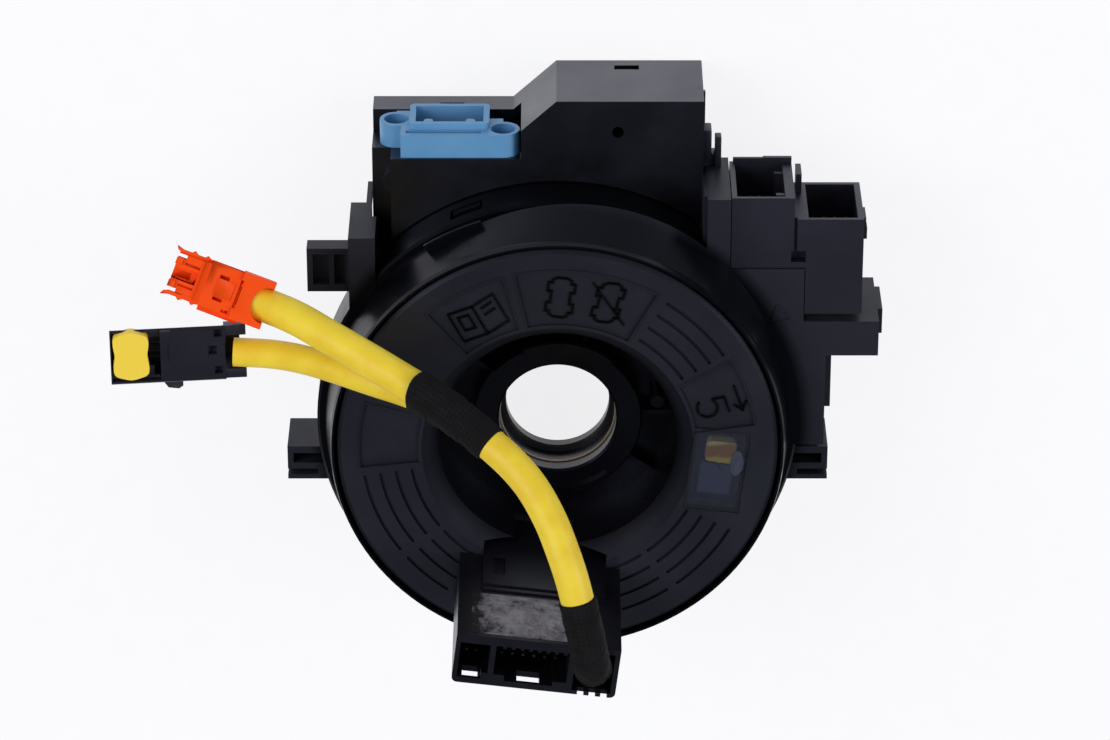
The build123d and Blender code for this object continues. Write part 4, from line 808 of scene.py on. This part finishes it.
# ---------------------------------------------------------------- harness
@dataclass
class Harness:
    """The trunk and its two branches, their tapes and their plugs."""

    trunk_d: float = 7.7
    branch_a_d: float = 7.9
    branch_b_d: float = 6.7
    tape_t: float = 0.38
    tape_gap: float = 0.12
    tape_tuck: float = 0.4      # how far the tape's two ends are drawn in
    layer_mm: float = 9.0
    tape_sides: int = 64
    tape_up: Point = (0.0, 0.65, 0.76)
    flare_from: float = 0.2     # share of the tape's length at which it starts to widen
    outlet_span: Flat = (0.0, 38.6)
    junction_span: Flat = (80.0, 101.6)
    junction_flare: Flat = (0.5, 4.3)
    crimp_a_mm: float = 4.2
    crimp_b_mm: float = 2.4
    plug_a_roll: float = 24.0
    plug_b_yaw: float = 2.6
    plug_b_pitch: float = -7.0
    plug_b_hinge: Flat = (20.8, 21.7)   # where its turning point stands, and which point that is
    trunk_route: tuple[Point, ...] = (
        (8.3, -37.9, 76.5),
        (8.3, -37.8, 85.5),
        (7.9, -33.6, 93.2),
        (6.6, -23.4, 97.8),
        (4.0, -11.0, 96.9),
        (1.9, -4.4, 94.6),
        (-2.0, 4.8, 89.8),
        (-8.1, 13.2, 84.8),
        (-20.2, 20.4, 76.4),
        (-27.6, 23.8, 71.6),
        (-34.2, 26.2, 68.0),
    )
    branch_a_route: tuple[Point, ...] = (
        (-24.6, 22.5, 73.5),
        (-29.6, 26.0, 72.4),
        (-35.9, 29.2, 70.2),
        (-43.6, 32.6, 66.8),
        (-51.9, 36.2, 63.4),
        (-60.0, 40.4, 61.0),
        (-68.5, 43.6, 60.2),
    )
    branch_b_route: tuple[Point, ...] = (
        (-24.6, 21.6, 72.4),
        (-28.8, 21.4, 67.3),
        (-34.4, 22.1, 63.5),
        (-42.2, 23.6, 61.2),
        (-50.2, 25.8, 59.4),
        (-58.0, 28.0, 58.4),
        (-65.2, 29.3, 58.1),
        (-71.9, 29.6, 58.0),
    )

    def build(self, shop: FinishShop) -> None:
        trunk = self.cable("trunk", self.trunk_route, self.trunk_d)
        branch_a = self.cable("branch_a", self.into_plug(self.branch_a_route, self.crimp_a_mm),
                              self.branch_a_d)
        branch_b = self.cable("branch_b", self.into_plug(self.branch_b_route, self.crimp_b_mm),
                              self.branch_b_d)
        outlet_wrap = self.wrap("outlet_wrap", trunk, self.outlet_span)
        junction_wrap = self.wrap("junction_wrap", trunk, self.junction_span, self.junction_flare)
        for piece, finish, slot, node in (
            (trunk, "yellow", "sleeve_yellow", "trunk_sleeve"),
            (branch_a, "yellow", "sleeve_yellow", "branch_sleeve_a"),
            (branch_b, "yellow", "sleeve_yellow", "branch_sleeve_b"),
            (outlet_wrap, "tape", "tape_black", "outlet_tape"),
            (junction_wrap, "tape", "tape_black", "junction_tape"),
        ):
            shop.fit(piece, finish, Body.ROTOR, node)
        plug_a, plug_b, lock = Plugs(*self.plug_axes()).build(shop)
        for cord, route, diameter, far_end, on_it in (
            (trunk, self.trunk_route, self.trunk_d, "object", [outlet_wrap, junction_wrap]),
            (branch_a, self.branch_a_route, self.branch_a_d, "connector", [plug_a]),
            (branch_b, self.branch_b_route, self.branch_b_d, "connector", [plug_b, lock]),
        ):
            self.length(cord)

    def plug_axes(self) -> tuple[Matrix, Matrix]:
        """The two plugs' axes, turned about their cables as they hang."""
        near, pivot = self.plug_b_hinge
        return (
            cable_axes(self.branch_a_route) @ Matrix.Rotation(math.radians(self.plug_a_roll), 4, "Z"),
            cable_axes(self.branch_b_route) @ Matrix.Translation((0, 0, near))
            @ Matrix.Rotation(math.radians(self.plug_b_yaw), 4, "Y")
            @ Matrix.Rotation(math.radians(self.plug_b_pitch), 4, "X")
            @ Matrix.Translation((0, 0, -pivot)),
        )

    def into_plug(self, route: Sequence[Point], crimp_mm: float) -> tuple[Point, ...]:
        """A branch's route, run on straight into its plug as far as the crimp."""
        return (*route, tuple(cable_axes(route) @ Vector((0, 0, crimp_mm)) / MM))

    def metres(self, point: Point) -> Point:
        """A route's point in metres."""
        return (point[0] * MM, point[1] * MM, point[2] * MM)

    def length(self, curve: bpy.types.Object) -> float:
        """A cord's length along its own line, in metres."""
        points = spline_points(curve)
        return sum((after - before).length for before, after in zip(points, points[1:]))

    def cable(self, name: str, route: Sequence[Point], diameter: float) -> bpy.types.Object:
        """Make a cord as a smooth spline with the route as its control points.

        Args:
            name: The piece's name.
            route: The route's points, in millimetres.
            diameter: The cord's diameter, in millimetres.

        Returns:
            The curve object.
        """
        curve = bpy.data.curves.new(name, "CURVE")
        curve.dimensions = "3D"
        curve.resolution_u = 16
        curve.bevel_resolution = 7
        curve.use_fill_caps = True
        spline = curve.splines.new("NURBS")
        spline.points.add(len(route) - 1)
        for knot, point in zip(spline.points, route):
            knot.co = (*self.metres(point), 1.0)
            knot.radius = diameter / 2 * MM
        spline.order_u = 3
        spline.use_endpoint_u = True
        curve.bevel_depth = 1.0     # times each point's radius, which also sets the curve's box
        return new_piece(name, curve)

    def wrap(self, name: str, curve: bpy.types.Object, span: Flat,
             flare: Flat = (0.0, 0.0)) -> bpy.types.Object:
        """Wind tape round a stretch of a cord, in overlapping turns.

        Args:
            name: The piece's name.
            curve: The cord that carries the tape.
            span: Where the tape starts and ends along the cord, in millimetres.
            flare: How much wider than round it grows to its side and to its top, in millimetres.

        Returns:
            The tape's object, with its UVs in millimetres.
        """
        line = self.resample(spline_points(curve), *span)
        bm = bmesh.new()
        uv_layer = bm.loops.layers.uv.new("UVMap")
        rings: list[list[bmesh.types.BMVert]] = []
        up = Vector(self.tape_up)
        for step, (at, middle, along) in enumerate(line):
            share = step / (len(line) - 1)
            side = along.cross(up).normalized()
            top = side.cross(along).normalized()
            grown = max(0.0, (share - self.flare_from) / (1 - self.flare_from)) ** 1.2
            ring = []
            for number in range(self.tape_sides):
                angle = math.tau * number / self.tape_sides
                turn = (at / self.layer_mm + number / self.tape_sides) % 1.0
                edge = self.tape_t * (0.35 + 0.65 * min(1.0, turn * 8))
                crease = 0.07 * math.sin(3 * angle + at * 0.9) + 0.05 * math.sin(7 * angle - at * 1.7)
                radius = self.trunk_d / 2 + self.tape_gap + edge + crease
                if step in (0, len(line) - 1):
                    radius -= self.tape_tuck
                offset = side * (math.cos(angle) * (radius + flare[0] * grown))
                offset += top * (math.sin(angle) * (radius + flare[1] * grown))
                ring.append(bm.verts.new(middle + offset * MM))
            rings.append(ring)
        arc = math.tau / self.tape_sides * self.trunk_d / 2
        for near, far, (near_at, _, _), (far_at, _, _) in zip(rings, rings[1:], line, line[1:]):
            for number in range(self.tape_sides):
                following = (number + 1) % self.tape_sides
                face = bm.faces.new((near[number], near[following], far[following], far[number]))
                face.smooth = True
                around, further = arc * number, arc * (number + 1)
                for loop, uv in zip(face.loops, (
                        (near_at, around), (near_at, further), (far_at, further), (far_at, around))):
                    loop[uv_layer].uv = uv
        bm.faces.new(list(reversed(rings[0])))
        bm.faces.new(rings[-1])
        return new_piece(name, close_mesh(name, bm))

    def resample(self, points: Sequence[Vector], start: float, end: float,
                 step: float = 0.35) -> list[tuple[float, Vector, Vector]]:
        """Walk along a line at even steps between two lengths.

        Args:
            points: The line's points, in metres.
            start: The first length along it, in millimetres.
            end: The last length, in millimetres.
            step: The spacing, in millimetres.

        Returns:
            Length in millimetres, place and direction for each step.
        """
        walked = [0.0]
        for before, after in zip(points, points[1:]):
            walked.append(walked[-1] + (after - before).length / MM)
        count = max(2, int((end - start) / step))
        found = []
        for number in range(count + 1):
            at = start + (end - start) * number / count
            index = max(i for i, length in enumerate(walked[:-1]) if length <= at)
            share = (at - walked[index]) / max(1e-9, walked[index + 1] - walked[index])
            place = points[index] + (points[index + 1] - points[index]) * share
            along = (points[min(index + 3, len(points) - 1)] - points[max(index - 2, 0)]).normalized()
            found.append((at, place, along))
        return found


# ---------------------------------------------------------------- plugs
@dataclass
class Plugs:
    """The two airbag plugs and the lock of the black one, in their cables' axes."""

    axes_a: Matrix
    axes_b: Matrix
    notch_r: float = 4.15

    def build(self, shop: FinishShop) -> tuple[bpy.types.Object, bpy.types.Object, bpy.types.Object]:
        """Mould both plugs and the lock.

        Args:
            shop: Where the finishes are made.

        Returns:
            The orange plug, the black plug and the lock.
        """
        made = (
            (self.orange_plug(), "orange", "squib_plug_a", "plug_orange", Body.ROTOR),
            (self.black_plug(), "plug", "squib_plug_b", "plug_black", Body.ROTOR),
            (self.lock(), "lock", "squib_lock", "lock_yellow", Body.LOCK),
        )
        for piece, finish, node, slot, body in made:
            shop.fit(piece, finish, body, node)
        return made[0][0], made[1][0], made[2][0]

    def notch(self, start: float, end: float, radius: float) -> tuple[Flat, ...]:
        """A slot open towards the cable with a round end, drawn in x and z."""
        turns = [math.pi * step / 14 for step in range(15)]
        arc = [(radius * math.cos(turn), end + radius * math.sin(turn) * 0.8) for turn in turns]
        return ((radius, start), *arc, (-radius, start))

    def orange_plug(self) -> bpy.types.Object:
        """The orange plug: forked collar, slotted body and a nose between two barbed arms."""
        solids = [
            block((-5.7, -4.7, -2.8), (5.5, 4.5, 4.8)),
            block((-5.4, -4.3, 4.6), (5.2, 3.9, 12.4)),
            block((-2.2, 3.8, 5.9), (2.0, 4.2, 9.8)),
            block((-4.7, -4.1, 12.2), (4.7, 3.3, 14.0)),
            block((-4.5, -3.8, 13.8), (4.3, 2.8, 20.2)),
            block((-3.5, 2.9, 18.9), (-1.9, 3.5, 20.4)),
            block((1.9, 2.9, 18.9), (3.5, 3.5, 20.4)),
            block((5.0, -4.3, 2.6), (5.9, -3.2, 4.0)),
            block((4.8, -4.4, 2.6), (6.5, -2.6, 12.2)),
        ]
        for side in (-1, 1):
            arm = ((4.0, 11.6), (5.2, 11.6), (5.4, 13.0), (5.9, 13.8), (5.3, 14.4), (5.3, 16.0),
                   (5.9, 16.9), (5.3, 17.6), (5.3, 19.4), (5.8, 21.2), (5.0, 20.8), (4.5, 19.6),
                   (4.5, 17.0), (4.2, 14.4))
            solids.append(Prism(tuple((side * x, z) for x, z in arm), -2.7, 2.1))
        cuts = [
            disc((0, 0), self.notch_r, -4.0, 4.4),
            Prism(self.notch(-4.0, -2.2, self.notch_r), 0.0, 6.0),
            block((-3.6, 3.5, 4.25), (3.0, 5.0, 4.9)),
            block((2.1, 2.2, 7.5), (2.9, 5.0, 9.8)),
            block((-3.1, 2.2, 7.5), (-2.3, 5.0, 9.8)),
            block((4.2, 3.2, 5.4), (4.9, 5.0, 7.0)),
            block((-1.5, 1.2, 14.6), (1.5, 4.0, 21.0)),
            block((-0.9, -2.4, 16.0), (0.9, 1.4, 22.0)),
            block((2.2, 1.6, 14.6), (2.8, 4.0, 18.2)),
            block((-2.8, 1.6, 14.6), (-2.2, 4.0, 18.2)),
            block((3.5, -5.0, 18.2), (4.4, 5.0, 21.0)),
            block((-4.4, -5.0, 18.2), (-3.5, 5.0, 21.0)),
        ]
        return carve("orange_plug", self.axes_a, solids, cuts, 0.16)

    def black_plug(self) -> bpy.types.Object:
        """The black plug: forked end, three terminal windows and an open well for its lock."""
        section = ((-2.0, -5.2), (6.2, -5.2), (6.9, -4.0), (6.9, 3.9), (6.5, 4.4), (-6.7, 4.4),
                   (-6.95, 4.1), (-6.7, 3.4))
        solids = [Prism(section, 5.3, 31.6, Across.Z)]
        for side in (-1, 1):
            edges = sorted((side * 4.3, side * 6.6))
            low = -4.4 if side > 0 else 1.2
            solids.append(block((edges[0], low, 0.6), (edges[1], 3.9, 5.6)))
        latch = ((6.5, 15.2), (8.9, 15.2), (9.6, 16.2), (9.2, 18.6), (6.5, 20.4))
        solids.append(Prism(latch, 0.4, 2.2))
        solids.append(block((-2.6, -5.0, 1.8), (4.6, -3.7, 5.6)))
        cuts = [
            disc((-0.8, 0.9), self.notch_r - 0.1, -1.0, 5.4),
            block((-6.3, 2.7, 20.2), (6.1, 6.0, 31.3)),
            block((-4.2, -2.0, 20.2), (5.4, 6.0, 21.6)),
            block((-3.0, -2.4, 21.5), (3.0, 6.0, 31.3)),
            block((3.2, 2.9, 6.1), (5.1, 6.0, 7.9)),
            block((-2.1, 2.9, 7.3), (0.1, 6.0, 9.2)),
            block((-6.2, 2.9, 6.1), (-4.3, 6.0, 7.9)),
            disc((0, -3.0), 1.7, 28.0, 33.0),
            block((-2.8, 4.2, 9.2), (1.2, 5.0, 9.5)),
            block((-3.4, 4.2, 18.2), (1.4, 5.0, 18.5)),
            block((-7.2, 3.0, 17.8), (-6.2, 5.0, 20.6)),
        ]
        return carve("black_plug", self.axes_b, solids, cuts, 0.18)

    def lock(self) -> bpy.types.Object:
        """The lock's wavy thumb plate and the tongue below it."""
        centre_x, centre_z, half_x, half_z = -1.0, 26.9, 5.3, 4.15
        outline = []
        for number in range(72):
            angle = math.tau * number / 72
            side, end = math.cos(angle), math.sin(angle)
            reach = (abs(side) ** 6 + abs(end) ** 6) ** (-1 / 6)
            hump = 0.7 * max(0.0, math.cos(2 * angle)) ** 2 * math.copysign(1, abs(side) - abs(end))
            dent = -0.45 * max(0.0, -math.cos(2 * angle)) ** 3
            outline.append((centre_x + side * reach * (half_x + hump),
                            centre_z + end * reach * (half_z + dent)))
        solids = [Prism(tuple(outline), 3.3, 5.9), block((-2.4, -1.8, 23.6), (2.4, 3.5, 29.4))]
        return carve("plug_lock_plate", self.axes_b, solids, (), 0.25)


# ---------------------------------------------------------------- small details of the mouldings
@dataclass
class MouldedDetails:
    """Small moulded features on the case, the tower, the sockets and the neutral window."""

    tower_top_z: float = 88.0
    outlet: Flat = (8.3, 17.3)
    tower_out_y: float = -42.8
    flap_radii: Flat = (54.2, 57.2)
    flap_angles: tuple[int, int] = (108, 123)
    flap_z: Flat = (39.0, 40.1)

    def build(self, shop: FinishShop) -> None:
        """Mould each detail and set it on its body."""
        made = (
            (self.comb_web(), "tower", "tower_black", Body.ROTOR),
            (self.shoulder_flap(), "case", "black_case", Body.CASE),
            (self.socket_lip(), "sockets", "black_socket", Body.CASE),
            (self.wing_mark(), "case", "black_case", Body.CASE),
            (self.wing_clip(), "sockets", "black_case", Body.CASE),
            (self.light_pipe(), "pipe", "lens_clear", Body.ROTOR),
            (self.hub_ring(), "bore_highlight_ring", "rotor_black", Body.ROTOR),
        )
        for piece, finish, slot, body in made:
            shop.fit(piece, finish, body)

    def comb_web(self) -> bpy.types.Object:
        """The thin web that closes the foot of the cable comb's slots."""
        low = (self.outlet[0] + 1.0, self.tower_out_y + 0.2, self.tower_top_z - 5.2)
        high = (self.outlet[1] - 0.4, self.tower_out_y + 1.3, self.tower_top_z - 1.2)
        return carve("comb_web", rotor_axes(), [block(low, high)], (), 0.1)

    def shoulder_flap(self) -> bpy.types.Object:
        """The raised flap on the case's shoulder, above the rim."""
        near, far = self.flap_radii
        angles = range(self.flap_angles[0], self.flap_angles[1] + 1)
        outline = [polar(far, angle) for angle in angles]
        outline += [polar(near, angle) for angle in reversed(angles)]
        flap = Prism(tuple(outline), *self.flap_z, Across.Z)
        return carve("shoulder_flap", frame_axes(), [flap], (), 0.3)

    def socket_lip(self) -> bpy.types.Object:
        """The lip along the back edge of the first side socket."""
        return carve("socket_lip", frame_axes(), [
            block((41.0, 58.9, 17.3), (54.7, 60.3, 18.2)),
        ], (), 0.12)

    def wing_mark(self) -> bpy.types.Object:
        """A small raised triangle on the wing's plate."""
        corners = [(49.4, 26.6), (54.4, 28.2), (51.2, 31.8)]
        solids = []
        for near, far in zip(corners, corners[1:] + corners[:1]):
            start, end = Vector(near), Vector(far)
            across = Vector((start.y - end.y, end.x - start.x)).normalized() * 0.2
            solids.append(Prism((tuple(start + across), tuple(end + across), tuple(end - across),
                                 tuple(start - across)), 37.8, 38.25, Across.Z))
        return carve("wing_mark", frame_axes(), solids, (), 0.06)

    def wing_clip(self) -> bpy.types.Object:
        """The clip between the sensor box and the wing's post: a rib, a hook and a finger."""
        return carve("wing_clip", frame_axes(), [
            block((33.6, 46.0, 16.6), (35.2, 58.6, 35.5)),
            block((33.6, 60.8, 15.0), (35.9, 68.0, 20.0)),
            block((33.6, 56.0, 15.0), (37.2, 61.6, 19.0)),
            block((36.7, 58.8, 17.0), (38.2, 66.4, 20.0)),
        ], (), 0.5)

    def light_pipe(self) -> bpy.types.Object:
        """The milky dome beside the neutral flag."""
        outline = oval((42.0, 1.6), (1.5, 3.3))
        return carve("light_pipe", rotor_axes(), [Prism(outline, 49.7, 50.25, Across.Z)], (), 0.22)

    def hub_ring(self) -> bpy.types.Object:
        """A narrow ring in the hub's bore, its pale colour a painted highlight line."""
        return carve("hub_ring", frame_axes(), [disc((0, 0), 13.85, 29.6, 30.0, sides=96)],
                     [disc((0, 0), 13.5, 29.0, 31.0, sides=96)], 0.08)


# ---------------------------------------------------------------- pictograms on the rotor
@dataclass
class Pictograms:
    """Raised moulded lines on the rotor's pads: generic icons and one figure."""

    face_z: float = 50.0
    pad_z: float = 49.45
    line_h: float = 0.45
    line_w: float = 0.7
    root: float = 0.05          # how deep each line is rooted in its face
    rim_w: float = 0.5
    rim_h: float = 0.22
    rim_out: float = 0.4        # how far outside its pad the contour runs
    pad_radii: Flat = (32.6, 46.2)
    pads: tuple[Flat, ...] = ((67.0, 42.5), (112.6, 25.0), (14.8, 22.5), (171.5, 21.5))

    def build(self, shop: FinishShop) -> None:
        """Mould each pad's lines as one piece."""
        pad, rim = (self.pad_z, self.line_h, self.line_w), (self.face_z, self.rim_h, self.rim_w)
        # The icons and the figure take the near-black finish: painted shade along their lines.
        for name, lines, finish, (level, height, width) in (
            ("wheel_icons", self.wheels(), "polished_painted_shade", pad),
            ("book_icon", self.book(), "polished_painted_shade", pad),
            ("turns_figure", self.turns(), "polished_painted_shade", pad),
            ("pad_rims", self.rims(), "rotor", rim),
        ):
            piece = self.strokes(name, lines, level, height, width)
            shop.fit(piece, finish, Body.ROTOR)

    def wheels(self) -> list[list[Flat]]:
        """Two bodies with four wheels each, seen from above, the second one crossed out."""
        lines = []
        flank = [(1.2, -5.0), (2.2, -4.4), (2.2, -3.7), (3.1, -3.7), (3.1, -1.5), (2.2, -1.5),
                 (2.2, 1.4), (3.1, 1.4), (3.1, 3.6), (2.2, 3.6), (2.2, 4.4), (1.2, 5.0)]
        for middle, lean in ((-4.2, 0.0), (6.9, 0.12)):
            shape = flank + [(-x, y) for x, y in reversed(flank)] + flank[:1]
            lines.append([(middle + x + lean * y, 39.2 + y) for x, y in shape])
        lines.append([(3.0, 43.8), (11.0, 34.2)])
        return lines

    def book(self) -> list[list[Flat]]:
        """An open book."""
        middle = Vector((-22.3, 31.8))
        turn = Matrix.Rotation(math.radians(35), 2)
        shape = [
            [(-5.8, -3.9), (-5.8, 3.9), (0, 3.2), (5.8, 3.9), (5.8, -3.9), (0, -4.6), (-5.8, -3.9)],
            [(0, 3.2), (0, -4.6)],
            [(1.8, 1.8), (4.3, 2.2)],
            [(1.8, 0.0), (4.3, 0.4)],
            [(-4.2, 2.1), (-1.7, 1.7), (-1.7, -1.9), (-4.2, -1.5), (-4.2, 2.1)],
        ]
        return [[tuple(middle + turn @ Vector(point)) for point in line] for line in shape]

    def turns(self) -> list[list[Flat]]:
        """The figure 5 beside an arrow."""
        middle = Vector((34.4, 15.4))
        turn = Matrix.Rotation(math.radians(-64), 2)
        figure = [(2.2, 3.4), (-1.6, 3.4), (-1.9, 0.7)]
        figure += [(math.cos(angle) * 2.4 - 0.1, math.sin(angle) * 2.4 - 1.2)
                   for angle in (math.radians(130 - 27 * step) for step in range(11))]
        arrow = [[(-3.4, 6.4), (3.0, 6.4)], [(1.2, 7.8), (3.0, 6.4), (1.2, 5.0)]]
        return [[tuple(middle + turn @ Vector(point)) for point in line] for line in [figure] + arrow]

    def rims(self) -> list[list[Flat]]:
        """The raised contour round each pad."""
        lines = []
        near, far = self.pad_radii
        for start, span in self.pads:
            steps = max(6, int(span / 2.5))
            angles = [start + span * step / steps for step in range(steps + 1)]
            outline = [polar(far + self.rim_out, angle) for angle in angles]
            lines.append([polar(near, start), *outline, polar(near, start + span)])
        return lines

    def strokes(self, name: str, lines: Sequence[Sequence[Flat]], level: float,
                rise: float, width: float) -> bpy.types.Object:
        """Turn lines in rotor axes into raised ribs with drafted sides.

        Args:
            name: The piece's name.
            lines: Each line's points, in millimetres.
            level: The height of the face that carries them.
            rise: How far they stand above it.
            width: Their width at the foot.

        Returns:
            The ribs' object.
        """
        bm = bmesh.new()
        for line in lines:
            points = [Vector(point) for point in line]
            closed = (points[0] - points[-1]).length < 1e-6
            if closed:
                points.pop()
            rings = []
            for number, point in enumerate(points):
                before = points[number - 1] if closed or number else point
                last = number + 1 == len(points)
                after = points[(number + 1) % len(points)] if closed or not last else point
                entry = (point - before if before != point else after - point).normalized()
                leave = (after - point).normalized() if after != point else entry
                along = (entry + leave).normalized()
                stretch = 1 / max(0.6, along.dot(entry))
                across = Vector((-along.y, along.x)) * stretch
                end = (0 if before != point and after != point else 1 if after == point else -1)
                ring = []
                for side, rise_to, share in (
                        (-1, -self.root, 0.5), (-1, rise, 0.3), (1, rise, 0.3), (1, -self.root, 0.5)):
                    spot = point + across * side * width * share + along * end * width * share
                    ring.append(bm.verts.new(rotor_point(spot.x, spot.y, level + rise_to)))
                rings.append(ring)
            pairs = list(zip(rings, rings[1:])) + ([(rings[-1], rings[0])] if closed else [])
            for near, far in pairs:
                for first in range(4):
                    second = (first + 1) % 4
                    bm.faces.new((near[first], near[second], far[second], far[first]))
            if not closed:
                bm.faces.new(rings[0])
                bm.faces.new(list(reversed(rings[-1])))
        return new_piece(name, close_mesh(name, bm))


# ---------------------------------------------------------------- whole part
def dress_frame(nodes: dict[str, bpy.types.Object], shop: FinishShop) -> None:
    """Give every carried-over CAD node its finish."""
    for key, names in NODE_FINISH.items():
        for name in names:
            shop.dress(nodes[name], key)


def main() -> None:
    """Build the studio, the harness and the details, in that order."""
    logging.basicConfig(level=logging.INFO, format="%(name)s %(message)s")
    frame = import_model()
    shop = FinishShop()
    Studio().build()
    Harness().build(shop)
    dress_frame(frame["nodes"], shop)
    MouldedDetails().build(shop)
    Pictograms().build(shop)


if __name__ == "__main__":
    main()
